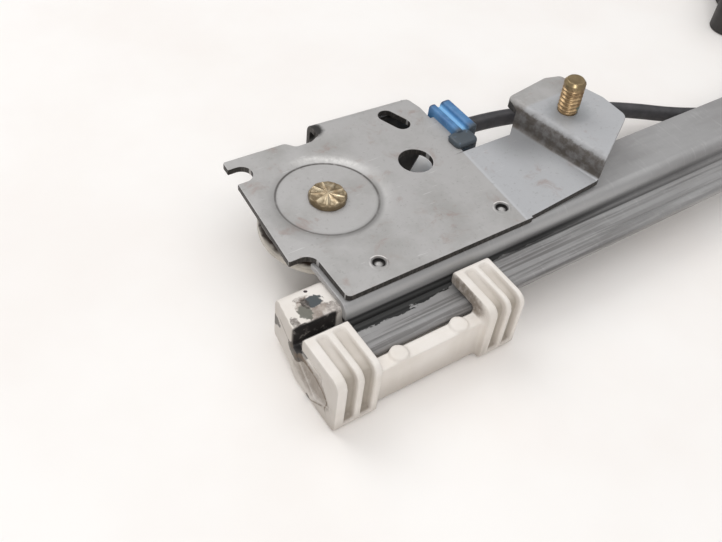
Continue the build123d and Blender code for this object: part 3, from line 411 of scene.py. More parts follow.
plate = {
    "top": 19.2,
    "edgeHeights": (1.6, 2.9),
    "spacing": 400.0,
    "embossRim": 16.5,
    "embossFloor": 13.1,
    "embossDepth": 0.8,
    "rimRound": 1.6,
    "floorRound": 0.35,
    "skew": math.radians(11.0),
    "crease": 42.0,
    "creaseSlant": 0.062,
    "riser": 60.9,
    "flangeEnd": ((10.2, 20.5, 8.0), (11.2, 26.5, 19.1)),
    "sore": [((40.0, 25.2, 18.0), 2.6), ((62.7, 4.8, 22.2), 2.6), ((62.3, 1.2, 24.6), 1.8)],
    "edgeRound": 0.22,
    "buttons": [(-1.5, -25.5), (37.3, -24.6)],
    "clean": (184, 182, 180),
    "dull": (166, 164, 161),
    "arm": (188, 190, 193),
    "creaseHighlight": (214, 214, 216),
    "armShade": (136, 136, 137),
    "stain": (158, 138, 130),
    "speck": (128, 124, 120),
    "scratch": (222, 221, 219),
    "line": (66, 62, 58),
    "glint": (228, 226, 222),
    "slope": (92, 90, 87),
    "crescent": (26, 23, 21),
    "lip": (244, 240, 236),
    "grime": (86, 80, 74),
    "studHalo": (134, 138, 140),
    "bendEndShade": (52, 50, 48),
    "edge": ((54, 51, 48), (86, 82, 78)),
}


# the same place at the far end: the spacing less x
def mirrored(point):
    return (plate["spacing"] - point[0], *point[1:])


# Near end at x = 0, far end mirrored: x is half the spacing less the distance from the middle,
# so both ends get the same marks.
def foldedPlace(place):
    x, y, z = axesOf(place)
    halfSpan = plate["spacing"] / 2
    x = sums("SUBTRACT", halfSpan, sums("ABSOLUTE", sums("SUBTRACT", x, halfSpan)))
    return x, y, z, addNode("ShaderNodeCombineXYZ", {0: x, 1: y, 2: z}).outputs[0]


# Marks round the emboss: a thin dark line where it meets its floor, dirt with painted shade,
# stronger behind; painted glints, a painted highlight on the shoulder behind; and painted shade on
# the slope at the other sides.
def embossMarks(place, folded, colour):
    p = plate
    fromPulley = farFrom(folded, (0, 0, p["top"]), (1, 1, 4))
    fromFloor = sums("SUBTRACT", fromPulley, p["embossFloor"])
    backwards = along(folded, (0.55, 0.84, 0))
    sideways = along(folded, (0.84, -0.55, 0))
    broken = between(cloud(place, 2.5, 4.0, 0.6), 0.3, 0.5, 0.55, 1.0)
    # the dark line: dirt in the floor's edge with painted shade, stronger behind
    line = both(band(fromFloor, -0.1, 0.42, 0.22), broken)
    line = both(line, between(backwards, -13.0, 11.0, 0.55, 0.95))
    colour = paint(colour, line, p["line"])
    # painted highlight: glints on the shoulder behind
    shoulder = both(band(fromFloor, 0.6, 2.6, 0.8), between(backwards, 10.5, 14.0))
    glints = between(cloud(place, 1.5, 5.0, 0.75), 0.35, 0.7, 0.2, 0.75)
    colour = paint(colour, both(shoulder, glints), p["glint"])
    # painted shade on the slope at the sides and in front
    slope = both(band(fromFloor, 0.1, 1.0, 1.2), below(backwards, 5.0, 12.5))
    slope = both(slope, between(sideways, -6.0, 10.0, 0.35, 0.95))
    return paint(colour, slope, p["slope"])


# Marks on a clinch button: a dark crescent of painted shade in the hollow, open towards the front,
# and a painted highlight on the lip behind it
def buttonMarks(place, folded, colour, centreX, centreY):
    fromButton = farFrom(folded, (centreX, centreY, plate["top"]), (1, 1, 3))
    behind = along(folded, (0.5, 0.87, 0))
    behind = sums("SUBTRACT", behind, 0.5 * centreX + 0.87 * centreY)
    # painted shade: a dark crescent in the hollow
    opening = between(sums("ADD", behind, cloud(place, 1.2)), -0.7, 0.0)
    crescent = both(band(fromButton, 0.95, 1.75, 0.28), opening)
    colour = paint(colour, crescent, plate["crescent"])
    # painted highlight: a bright lip behind the hollow
    lip = both(band(fromButton, 1.95, 2.45, 0.15), between(behind, 0.9, 1.5))
    return paint(colour, both(lip, 0.9), plate["lip"])


# Grime on the riser: strong under a ragged limit in its upper bend, fading above, clear of its foot
def riserGrime(place, across, y, z):
    onRiser = band(across, plate["riser"] - 0.9, plate["riser"] + 2.6, 0.5)
    uneven = sums("MULTIPLY", cloud(place, 1.6, 5.0, 0.7), 1.6)
    ragged = sums("ADD", z, uneven)
    fading = between(ragged, 25.4, 28.1, 0.7, 0.0)
    lower = either(below(ragged, 25.9, 26.9), fading)
    rising = sums("ADD", z, sums("MULTIPLY", y, 0.03))
    clearFoot = between(rising, 19.0, 19.6)
    patchy = between(cloud(place, 3, 5.0, 0.65), 0.3, 0.6, 0.72, 1.0)
    return both(onRiser, lower, clearFoot, patchy)


# Dull zinc with stains, specks and scratches. The arm past the crease is painted paler with painted
# light, has a painted highlight along the crease and lies in painted shade before its riser.
def makePlateSteel():
    p = plate
    material, shader, place = startMaterial("plateSteel")
    x, y, z, folded = foldedPlace(place)
    patches = cloud(place, 14, 5.0, 0.6)
    colour = drift(patches, 0.35, 0.7, p["clean"], p["dull"])
    across = along(folded, (math.cos(p["skew"]), math.sin(p["skew"]), 0))
    past = sums("SUBTRACT", x, sums("MULTIPLY", y, p["creaseSlant"]))
    past = sums("SUBTRACT", past, p["crease"])
    # painted light: the arm past the crease is painted paler, as if lit more
    onArm = both(between(past, -0.1, 0.2), below(y, -1.5, -0.5))
    colour = paint(colour, both(onArm, 0.7), p["arm"])
    # painted highlight: a pale line just past the crease
    worn = both(band(past, 0.1, 0.8, 0.5), onArm, 0.35)
    colour = paint(colour, worn, p["creaseHighlight"])
    nearRiser = both(band(across, 50.0, 62.0, 6.0), below(z, 21.0, 22.5))
    nearRiser = both(nearRiser, between(y, -20.0, -6.0))
    colour = paint(colour, both(nearRiser, 0.8), p["armShade"])
    stains = between(cloud(place, 7, 6.0, 0.68, warp=0.6), 0.55, 0.72, 0, 0.6)
    colour = paint(colour, stains, p["stain"])
    specks = between(cloud(place, 1.1, 5.0, 0.7), 0.58, 0.68, 0, 0.3)
    colour = paint(colour, specks, p["speck"])
    lines = cloud(place, 0.45, 2.0, 0.5, stretch=(14, 1, 1))
    colour = paint(colour, between(lines, 0.7, 0.76, 0, 0.4), p["scratch"])
    colour = embossMarks(place, folded, colour)
    for centreX, centreY in p["buttons"]:
        colour = buttonMarks(place, folded, colour, centreX, centreY)
    grime = riserGrime(place, across, y, z)
    colour = paint(colour, grime, p["grime"])
    halo = spot(folded, (73.1, -8.2, 26.8), (6.6, 5.6, 4.0), 0.35, 0.3, 2.5)
    colour = paint(colour, both(halo, 0.4), p["studHalo"])
    # painted shade: the end of the back flange's bend, dark as if in its shadow
    bendEndShade = spot(folded, (10.4, 24.4, 17.0), (3.2, 3.4, 4.0), 0.2, 0.2, 2.0)
    colour = paint(colour, bendEndShade, p["bendEndShade"])
    rough = between(patches, 0.3, 0.75, 0.42, 0.55)
    rough = sums("ADD", rough, both(grime, 0.25))
    metal = sums("SUBTRACT", 0.35, both(grime, 0.3))
    joinUp(shader, colour, rough, cloud(place, 0.5, 3.0, 0.6), 0.012, metal)
    return material


# Dark sheared metal with upright streaks
def makeShearedEdge():
    material, shader, place = startMaterial("shearedEdge", Metallic=0.3, Roughness=0.55)
    streaks = cloud(place, 0.5, 4.0, 0.6, stretch=(1, 1, 5))
    colour = drift(streaks, 0.35, 0.75, *plate["edge"])
    joinUp(shader, colour, height=streaks, depth=0.015)
    return material


plateSteel, shearedEdge = makePlateSteel(), makeShearedEdge()
for end in ("a", "b"):
    far = end == "b"
    atEnd = mirrored if far else tuple
    axis = atEnd((0, 0, 0))
    embossRings = [
        (axis, plate["embossRim"], plate["top"], plate["rimRound"]),
        (axis, plate["embossFloor"], plate["top"] - plate["embossDepth"], plate["floorRound"]),
    ]
    low, high = (np.array(atEnd(corner)) for corner in plate["flangeEnd"])
    boxes = [(np.minimum(low, high), np.maximum(low, high))]
    sore = [(atEnd(point), reach) for point, reach in plate["sore"]]
    spared = (math.cos(plate["skew"]) * (1 if far else -1), -math.sin(plate["skew"]), 0)
    node = "pulley_plate_" + end
    mesh = mergedCopy(node, plate["edgeHeights"], boxes, embossRings, sore, spared)
    materials = [plateSteel, shearedEdge]
    piece = showPiece("endPlate" + end.upper(), mesh, "frame", "plate_steel", materials, node)
    softEdges(piece, plate["edgeRound"])
print("end plates made")


button = {
    "reach": 2.5,
    "ring": 2.1,
    "ringRise": 0.4,
    "ringWidth": 0.3,
    "edgeWidth": 0.4,
    "hollow": 1.95,
    "hollowDepth": 0.7,
    "hollowSlope": 0.5,
    "knob": 0.9,
    "sunk": 0.9,
    "lipTurn": math.radians(60),
}


# A polar grid laid on the plate. Its height is a bell over the ring, highest at the lip's turn,
# less a hollow inside that ring, which goes with the square of the radius on the knob.
def clinchButton(name, x, y, turn):
    b = button
    around, steps = 48, 30
    angle = fullTurn(around)[None, :]
    radius = np.linspace(b["reach"], 0.05, steps)[:, None] + np.zeros((1, around))
    lip = 0.5 + 0.5 * np.cos(angle - turn)
    swell = np.exp(-(((radius - b["ring"]) / b["ringWidth"]) ** 2))
    edge = np.clip((b["reach"] - radius) / b["edgeWidth"], 0, 1)
    height = 0.02 + b["ringRise"] * lip * swell * edge
    hollow = np.clip((b["hollow"] - radius) / b["hollowSlope"], 0, 1)
    hollow = hollow * np.clip(radius / b["knob"], 0, 1) ** 2
    height = height - b["hollowDepth"] * hollow * (0.35 + 0.65 * lip)
    heights = np.vstack([np.full((1, around), -b["sunk"]), height])
    radii = np.vstack([radius[:1], radius])
    rings = turnedRings(heights, radii, (x, y, plate["top"]))
    showPiece(name, ringMesh(name, rings), "frame", "plate_steel", [plateSteel])


for index, (x, y) in enumerate(plate["buttons"]):
    clinchButton("clinchButtonA" + str(index + 1), x, y, button["lipTurn"])
    farX = plate["spacing"] - x
    clinchButton("clinchButtonB" + str(index + 1), farX, y, math.pi - button["lipTurn"])
print("clinch buttons made")


rail = {
    "flangeTop": (13.3, 14.0),
    "wallY": (-33.2, -32.4),
    "clean": (172, 171, 170),
    "dull": (152, 150, 149),
    "combed": (196, 195, 193),
    "flange": (118, 116, 114),
    "dirt": (82, 79, 76),
    "wall": (206, 205, 203),
    "grease": (40, 40, 39),
    "shade": (70, 69, 68),
    "edgeRound": 0.2,
}


# Dull zinc drawn along x, with dirt streaks on the flange, most of them at the near end. The wall
# under the bead is painted pale with painted light, its foot lies in painted shade,
# and grease lies in the foot and on the flange.
def makeRailSteel():
    r = rail
    material, shader, place = startMaterial("railSteel", Metallic=0.4)
    x, y, z = axesOf(place)
    patches = cloud(place, 12, 4.0, 0.6, stretch=(4, 1, 1))
    drawn = cloud(place, 0.7, 4.0, 0.6, stretch=(40, 1, 1))
    colour = drift(patches, 0.35, 0.7, r["clean"], r["dull"])
    combed = between(cloud(place, 0.9, 3.0, 0.6, stretch=(1, 6, 6)), 0.55, 0.7, 0, 0.25)
    colour = paint(colour, combed, r["combed"])
    onFlange = both(below(z, *r["flangeTop"]), below(y, *r["wallY"]))
    colour = paint(colour, both(onFlange, 0.2), r["flange"])
    streaks = cloud(place, 1.5, 4.0, 0.6, stretch=(30, 1, 1))
    streaks = both(onFlange, between(streaks, 0.48, 0.62, 0, 0.8))
    nearEnd = between(x, 30.0, 90.0, 0.75, 0.35)
    colour = paint(colour, both(streaks, nearEnd), r["dirt"])
    # painted light: the wall under the bead is painted pale, less so farther along
    wall = both(band(y, -33.4, -31.2, 0.3), band(z, 13.0, 16.4, 0.5))
    colour = paint(colour, both(wall, between(x, 45.0, 110.0, 0.6, 0.0)), r["wall"])
    foot = both(band(y, -34.6, -31.4, 0.5), between(z, 12.8, 15.4, 0.75, 0.0))
    foot = both(foot, between(x, 16.0, 46.0), below(x, 46.0, 150.0))
    colour = paint(colour, foot, r["shade"])
    # the grease's limit wanders with noise, less so farther along, and comes nearer to the wall
    spread = both(between(x, 20.0, 50.0, 5.0, 1.2), between(x, 50.0, 80.0, 1.0, 0.3))
    wander = cloud(place, 2.0, 5.0, 0.65, stretch=(3, 1, 1))
    wander = both(sums("SUBTRACT", wander, 0.5), spread)
    limit = between(x, 6.0, 24.0, -36.4, -33.8)
    limit = sums("ADD", limit, between(x, 40.0, 90.0, 0.0, 1.0))
    inside = sums("SUBTRACT", sums("ADD", y, wander), limit)
    inside = both(between(inside, -0.15, 0.25), band(y, -38.0, -31.0, 0.3))
    low = both(below(z, 12.8, 13.5), below(x, 40.0, 90.0))
    colour = paint(colour, both(inside, low), r["grease"])
    rough = between(patches, 0.3, 0.75, 0.38, 0.52)
    joinUp(shader, colour, rough, drawn, 0.012)
    return material


railSteel = makeRailSteel()
railMesh = mergedCopy("guide_rail")
piece = showPiece("rail", railMesh, "frame", "rail_steel", [railSteel], "guide_rail")
softEdges(piece, rail["edgeRound"])
print("guide rail made")


rivet = {
    # radius and height of the turned profile, from the foot to the head's shoulder
    "profile": [
        (0.4, 5.0), (5.5, 5.0), (6.0, 5.4), (6.0, 6.55), (5.9, 6.6), (4.05, 6.6), (4.0, 6.65),
        (4.0, 18.35), (4.05, 18.4), (4.95, 18.4), (5.1, 18.55), (5.05, 19.2), (4.9, 19.65),
        (4.65, 19.95),
    ],
    "seat": 18.4,
    "headRadius": 5.1,
    "headTop": 20.4,
    "spokes": 9,
    "starDepth": 0.75,
    "spokeHalf": 0.12,
    "sunkWidth": 0.75,
    "rimWidth": 0.75,
    "mainTurn": math.radians(196),
    "light": (218, 202, 172),
    "mid": (160, 138, 108),
    "side": (92, 78, 60),
    "dark": (112, 96, 70),
}


# Brass that darkens down the head's side, with grime in the sunk fields of the star
def makeRivetBrass():
    r = rivet
    material, shader, place = startMaterial("rivetBrass")
    z = axesOf(place)[2]
    patches = cloud(place, 1.6, 4.0, 0.6)
    colour = drift(patches, 0.3, 0.7, r["light"], r["mid"])
    colour = paint(colour, between(z, 19.2, 19.9, 0.8, 0.0), r["side"])
    sunk = below(z, r["headTop"] - 0.5, r["headTop"] - 0.12)
    grime = between(cloud(place, 1.1, 4.0, 0.6), 0.35, 0.6, 0.5, 0.95)
    grime = both(sunk, grime)
    colour = paint(colour, grime, r["dark"])
    rough = between(patches, 0.3, 0.7, 0.3, 0.45)
    metal = sums("SUBTRACT", 0.8, both(grime, 0.5))
    joinUp(shader, colour, rough, cloud(place, 0.4), 0.03, metal)
    return material


# A turned profile that carries the pulley. On top the height falls away from each spoke, by the
# depth times how far the point lies beside its nearest spoke: sharp ridges over sunk fields.
def starRivet(name, centre, node):
    s = rivet
    angle = fullTurn(216)
    profile = np.array(s["profile"])
    wobble = 1 - 0.018 * (1 + np.cos(s["spokes"] * (angle - s["mainTurn"])))
    radii = profile[:, :1] * np.where(profile[:, 1:] > s["seat"] + 0.1, wobble, 1.0)
    heights = np.repeat(profile[:, 1:], len(angle), axis=1)
    inner = np.linspace(s["headRadius"] - 0.6, 0.04, 30)[:, None]
    step = 2 * np.pi / s["spokes"]
    off = np.abs((angle - s["mainTurn"] + step / 2) % step - step / 2)
    arc = inner * off
    sunk = np.clip((arc - s["spokeHalf"]) / s["sunkWidth"], 0, 1) ** 0.8
    rim = np.clip((s["headRadius"] - inner) / s["rimWidth"], 0, 1)
    uneven = 0.62 + 0.2 * np.cos(2 * angle + 0.8) + 0.18 * np.sin(5 * angle)
    crown = s["headTop"] - 0.25 * (inner / s["headRadius"]) ** 2
    radii = np.vstack([radii, inner * wobble])
    heights = np.vstack([heights, crown - s["starDepth"] * sunk * rim * uneven])
    rings = turnedRings(heights, radii, centre)
    showPiece(name, ringMesh(name, rings), "frame", "rivet_brass", [rivetBrass], node)


rivetBrass = makeRivetBrass()
starRivet("starRivetA", (0, 0, 0), "pulley_rivet_a")
starRivet("starRivetB", (plate["spacing"], 0, 0), "pulley_rivet_b")
print("rivets made")


stud = {
    "base": (73.11, -7.69, 26.803),
    "lean": math.radians(3.0),
    "length": 10.2,
    "radius": 3.0,
    "root": 2.42,
    "pitch": 1.25,
    "neck": 2.7,
    "neckRise": 0.4,
    # radius and height of the profile under the thread, from the head to the neck
    "lower": [
        (0.3, -3.8), (5.1, -3.8), (5.5, -3.4), (5.5, -2.15), (5.2, -1.82), (2.8, -1.8),
        (2.7, -1.7), (2.7, 0.0), (2.7, 0.35),
    ],
    "tipRadius": 2.35,
    "tipLength": 0.8,
    "plainTip": 1.9,
    "light": (196, 168, 128),
    "dark": (136, 110, 80),
    "olive": (140, 128, 96),
    "dust": (110, 92, 70),
    "green": (84, 104, 92),
}


# Yellow zinc, olive towards the tip, dusty, with a green spot at the foot of the near stud
def makeYellowZinc():
    s = stud
    material, shader, place = startMaterial("yellowZinc")
    z = axesOf(place)[2]
    patches = cloud(place, 2.5, 4.0, 0.6)
    colour = drift(patches, 0.3, 0.7, s["light"], s["dark"])
    colour = paint(colour, between(z, 34.6, 36.2, 0.0, 0.55), s["olive"])
    greenSpot = spot(place, (74.6, -10.4, 28.6), (1.3, 1.0, 1.3), 0.3, 0.2, 1.0)
    colour = paint(colour, both(greenSpot, 0.85), s["green"])
    dust = between(cloud(place, 1.0, 5.0, 0.7), 0.55, 0.7, 0, 0.35)
    colour = paint(colour, dust, s["dust"])
    rough = between(patches, 0.3, 0.7, 0.28, 0.42)
    metal = sums("SUBTRACT", 0.8, greenSpot)
    joinUp(shader, colour, rough, cloud(place, 0.5), 0.01, metal)
    return material


# A turned profile that leans with its tab. On the thread the radius is a V wave of the height over
# the pitch minus the turn, held under a limit line that narrows at the neck and the tip.
def threadedStud(name, node, far):
    s = stud
    sign = -1 if far else 1
    base = mirrored(s["base"]) if far else s["base"]
    axis = np.array([
        -sign * math.sin(s["lean"]) * math.cos(plate["skew"]),
        -math.sin(s["lean"]) * math.sin(plate["skew"]), math.cos(s["lean"]),
    ])
    around = 72
    turn = np.linspace(0, 1, around, endpoint=False)
    threadHeights = np.linspace(s["neckRise"], s["length"], 150)
    wave = (threadHeights[:, None] / s["pitch"] - turn) % 1.0
    flank = np.clip((np.abs(2 * wave - 1) - 0.12) / 0.72, 0, 1)
    fromTip = (s["length"] - threadHeights)[:, None]
    shallow = np.clip((fromTip - s["plainTip"]) / 0.5, 0, 1)
    threadRadii = s["radius"] - (s["radius"] - s["root"]) * flank * shallow
    tipShare = np.clip(fromTip / s["tipLength"], 0, 1)
    limit = s["tipRadius"] + (s["radius"] - s["tipRadius"]) * tipShare
    fromNeck = (threadHeights - s["neckRise"])[:, None]
    limit = np.minimum(limit, s["neck"] + (s["radius"] - s["neck"]) * np.clip(fromNeck / 0.5, 0, 1))
    threadRadii = np.minimum(threadRadii, limit)
    top = s["length"]
    cap = np.array([(s["tipRadius"] - 0.2, top), (1.2, top - 0.05), (0.3, top - 0.07)])
    parts = (np.array(s["lower"]), cap)
    lowerRings, capRings = (np.repeat(part[:, None], around, 1) for part in parts)
    radii = np.vstack([lowerRings[..., 0], threadRadii, capRings[..., 0]])
    threadRings = np.repeat(threadHeights[:, None], around, 1)
    heights = np.vstack([lowerRings[..., 1], threadRings, capRings[..., 1]])
    rings = turnedRings(heights, radii, base, axis)
    showPiece(name, ringMesh(name, rings), "frame", "yellow_zinc", [yellowZinc], node)


yellowZinc = makeYellowZinc()
threadedStud("threadedStudA", "stud_a", False)
threadedStud("threadedStudB", "stud_b", True)
print("studs made")


slider = {
    "voxel": 0.36,
    "smoothShare": 0.5,
    "smoothSteps": 6,
    "barTop": 12.3,
    "nubShare": 0.6,
    "nubLow": (-15.5, -60.0, 12.4),
    "nubHigh": (13.0, -43.5, 20.0),
    "grooves": [(-25.55, -22.9), (-21.0, -18.35), (16.4, 19.0), (20.5, 23.15)],
    "clean": (234, 228, 221),
    "worn": (226, 219, 210),
    "grooveShade": (150, 140, 126),
    "footShade": (150, 138, 126),
    "endFaceShade": (150, 142, 133),
    "greaseDark": (34, 31, 30),
    "brown": (112, 96, 80),
    # grease on the block's top: centre, reach, tone, strength and whether it is thin
    "blots": [
        ((-18.9, -29.6, 15.5), (4.0, 2.6, 2.5), (118, 106, 100), 0.8, True),
        ((-21.0, -26.8, 15.5), (3.4, 3.4, 2.0), (146, 132, 120), 0.6, False),
        ((-22.2, -23.7, 15.5), (1.7, 0.8, 2.0), (78, 60, 46), 0.95, True),
        ((-22.9, -27.7, 15.5), (1.7, 2.2, 2.0), (98, 98, 88), 0.9, False),
        ((-19.5, -25.6, 15.5), (2.1, 1.8, 2.0), (70, 76, 78), 1.0, False),
        ((-21.6, -25.4, 15.5), (0.9, 1.6, 2.0), (60, 52, 46), 0.95, True),
        ((-19.6, -22.2, 15.5), (0.5, 0.5, 1.0), (58, 44, 46), 1.0, False),
        ((-26.4, -29.4, 15.0), (1.0, 1.9, 2.5), (84, 74, 68), 0.85, True),
        ((-25.2, -31.0, 14.6), (1.9, 0.9, 2.0), (60, 52, 48), 0.95, True),
    ],
    # grease that has run out at the end: centre and reach
    "runs": [
        ((-27.8, -31.6, 9.3), (2.0, 2.6, 1.9)),
        ((-27.8, -33.4, 8.6), (1.6, 1.6, 1.2)),
        ((-26.9, -22.0, 9.0), (2.2, 2.2, 1.2)),
        ((-26.8, -20.9, 8.0), (2.0, 1.2, 1.4)),
        ((-28.0, -39.2, 0.6), (1.2, 0.9, 0.9)),
    ],
}


# Brown lines and dirt in the end face, and dirt on the far jaw's inner face. The lines are bands of
# z less y / 4, of z plus a power of y past the block, and of z plus 0.7 y.
def brownMarks(place, onEnd, facing):
    y, z = axesOf(place)[1:]
    slant = sums("SUBTRACT", z, sums("MULTIPLY", y, 0.25))
    upper = both(band(slant, 17.05, 17.5, 0.25), band(y, -31.0, -23.5, 0.8), 0.7)
    past = sums("MAXIMUM", sums("SUBTRACT", -33.3, y), 0.0)
    bow = sums("ADD", z, both(sums("POWER", past, 3.8), 0.00027))
    crease = both(band(bow, 8.3, 9.4, 0.35), band(y, -46.5, -32.5, 0.8))
    foot = sums("ADD", z, sums("MULTIPLY", sums("ADD", y, 39.2), 0.7))
    foot = both(band(foot, -0.3, 0.15, 0.2), band(y, -45.0, -39.0, 0.4), 0.8)
    recess = both(spot(place, (-28.0, -40.0, 6.3), (2.0, 7.5, 3.2), 0.4, 0.3, 1.6), 0.6)
    endMarks = both(onEnd, either(upper, crease, foot, recess))
    jawFace = spot(place, (13.8, -40.5, 14.6), (1.2, 6.5, 3.6), 0.5, 0.3, 2.5)
    jawFace = both(between(facing, 0.3, 0.8), jawFace, 0.8)
    stain = between(cloud(place, 1.3, 5.0, 0.65), 0.3, 0.55, 0.55, 1.0)
    return both(either(endMarks, jawFace), stain)


# White plastic with painted shade in its grooves, towards its foot and on its end face,
# grease and brown dirt
def makeSliderPlastic():
    s = slider
    material, shader, place = startMaterial("sliderPlastic")
    x, y, z = axesOf(place)
    patches = cloud(place, 9, 4.0, 0.6)
    colour = drift(patches, 0.3, 0.7, s["clean"], s["worn"])
    # painted shade in the jaws' grooves, stronger towards the front
    inGroove = either(*(band(x, low, high, 0.15) for low, high in s["grooves"]))
    inGroove = both(inGroove, band(y, -49.5, -36.5, 0.3), below(z, 16.2, 17.1))
    inGroove = both(inGroove, between(y, -48.0, -44.0, 0.75, 0.45))
    colour = paint(colour, inGroove, s["grooveShade"])
    # painted shade: the jaws and the bar darker towards the floor
    jawFoot = between(z, 0.0, 6.0, 0.4, 0.0)
    barFoot = both(between(z, 0.0, 10.0, 0.55, 0.0), band(x, -17.0, 15.5, 0.6))
    foot = both(either(jawFoot, barFoot), below(y, -43.0, -40.0))
    colour = paint(colour, foot, s["footShade"])
    thin = between(cloud(place, 2.0, 4.0, 0.6), 0.36, 0.6, 0.3, 1.0)
    for centre, reach, shade, strength, isThin in s["blots"]:
        blot = spot(place, centre, reach, 0.6, 0.12, 1.1)
        colour = paint(colour, both(blot, thin if isThin else 1.0, strength), shade)
    # black grease fills the gap between block and jaw
    gap = both(band(y, -35.6, -30.35, 0.2), below(x, -16.6, -15.8))
    patchy = between(cloud(place, 1.8, 4.0, 0.6), 0.32, 0.46, 0.7, 1.0)
    gap = both(gap, between(z, 9.2, 9.9), patchy)
    runs = (spot(place, centre, reach, 0.5, 0.12, 0.9) for centre, reach in s["runs"])
    colour = paint(colour, either(gap, *runs), s["greaseDark"])
    # painted shade on the end face
    normal = addNode("ShaderNodeTexCoord", {}, place.id_data).outputs["Normal"]
    facing = along(normal, (-1, 0, 0))
    onEnd = both(between(facing, 0.3, 0.7), below(x, -26.6, -26.0))
    colour = paint(colour, both(onEnd, 0.4), s["endFaceShade"])
    colour = paint(colour, brownMarks(place, onEnd, facing), s["brown"])
    rough = between(patches, 0.25, 0.75, 0.42, 0.55)
    joinUp(shader, colour, rough, cloud(place, 0.6), 0.008)
    return material


sliderPlastic = makeSliderPlastic()
sliderMesh = mergedCopy("slider")
points = np.empty(len(sliderMesh.vertices) * 3)
sliderMesh.vertices.foreach_get("co", points)
points = points.reshape(-1, 3) / mm + pulleyAxis
onNub = ((points > slider["nubLow"]) & (points < slider["nubHigh"])).all(axis=1)
points[onNub, 2] = slider["barTop"] + slider["nubShare"] * (points[onNub, 2] - slider["barTop"])
sliderMesh.vertices.foreach_set("co", toRow(points).ravel())
piece = showPiece("mouldedSlider", sliderMesh, "slider", "white_plastic", [sliderPlastic], "slider")
moulded = piece.modifiers.new("moulded", "REMESH")  # one even skin
moulded.mode, moulded.voxel_size, moulded.use_smooth_shade = "VOXEL", slider["voxel"] * mm, True
rounded = piece.modifiers.new("rounded", "SMOOTH")  # rounds all its edges
rounded.factor, rounded.iterations = slider["smoothShare"], slider["smoothSteps"]
print("slider made")


clip = {
    # the profile across y and the round of each corner
    "outline": [
        (44.0, 7.6), (51.4, 7.6), (51.4, 21.4), (48.5, 21.4), (48.5, 19.7), (46.3, 19.7),
        (46.3, 21.4), (44.0, 21.4),
    ],
    "rounds": [0.5] * 2 + [1.0] * 2 + [0.5] * 2 + [0.9] * 2,
    "frontY": 3.6,
    "backY": 17.0,
    "endRound": 0.6,
    # where lip and head start along x, their bottoms and tops
    "heads": {"clipLip": (41.2, 19.25, 20.8), "clipHead": (44.0, 12.0, 20.3)},
    "headEndX": 48.6,
    "headY": (-1.0, 4.6),
    "headRound": 2.0,
    # how far under the top the stations lie and how much of the plan they keep
    "stations": [(0.8, 1.0), (0.35, 0.96), (0.1, 0.88), (0.0, 0.78)],
    "grooveX": (46.2, 48.6),
    "blue": (132, 186, 226),
    "deepBlue": (80, 130, 176),
    "dullBlue": (64, 108, 154),
    "dark": (70, 78, 84),
    "endShade": (52, 58, 70),
    "wear": (128, 168, 206),
}


# Blue plastic, brighter in the groove, with painted shade in front under a ragged limit and behind
def makeClipBlue():
    c = clip
    material, shader, place = startMaterial("clipBlue")
    x, y, z = foldedPlace(place)[:3]
    patches = between(cloud(place, 4, 4.0, 0.6), 0.35, 0.7)
    colour = blendTones(patches, tone(*c["deepBlue"]), tone(*c["dullBlue"]))
    groove = both(band(x, *c["grooveX"], 0.2), below(z, 20.0, 20.9))
    colour = paint(colour, groove, c["blue"])
    # painted shade: dark in front under a ragged limit
    ragged = sums("ADD", y, sums("MULTIPLY", cloud(place, 3), 2.0))
    colour = paint(colour, below(ragged, 4.4, 7.4), c["dark"])
    ends = both(between(y, 15.6, 16.8), between(z, 20.2, 21.0))
    colour = paint(colour, both(ends, 0.8), c["endShade"])
    wear = between(cloud(place, 1.4, 5.0, 0.7), 0.56, 0.7, 0, 0.3)
    colour = paint(colour, wear, c["wear"])
    rough = between(cloud(place, 3), 0.3, 0.7, 0.42, 0.55)
    joinUp(shader, colour, rough, cloud(place, 0.5), 0.01)
    return material


# An outline carried along y. Each station is shrunk towards its middle by a quarter circle: the
# round less the root of its square less the square of what the distance to the end lacks of it.
def carriedAlongY(outline, frontY, backY, endRound):
    stations = 1 - np.cos(np.linspace(0, np.pi / 2, 6))
    y = np.concatenate([frontY + endRound * stations, backY - endRound * stations[::-1]])
    fromEnd = np.minimum(y - frontY, backY - y)
    lacking = np.clip(endRound - fromEnd, 0, None)
    inward = endRound - np.sqrt(np.clip(endRound ** 2 - lacking ** 2, 0, None))
    middle = (outline.min(axis=0) + outline.max(axis=0)) / 2
    halfSize = (outline.max(axis=0) - outline.min(axis=0)) / 2
    share = 1 - inward[:, None, None] / halfSize
    section = middle + (outline[None] - middle) * share
    level = np.broadcast_to(y[:, None, None], (*section.shape[:2], 1))
    return np.concatenate([section[..., :1], level, section[..., 1:]], axis=-1)


# rings at the far end: the spacing less x
def mirroredRings(rings, far):
    return rings * (-1, 1, 1) + (plate["spacing"], 0, 0) if far else rings


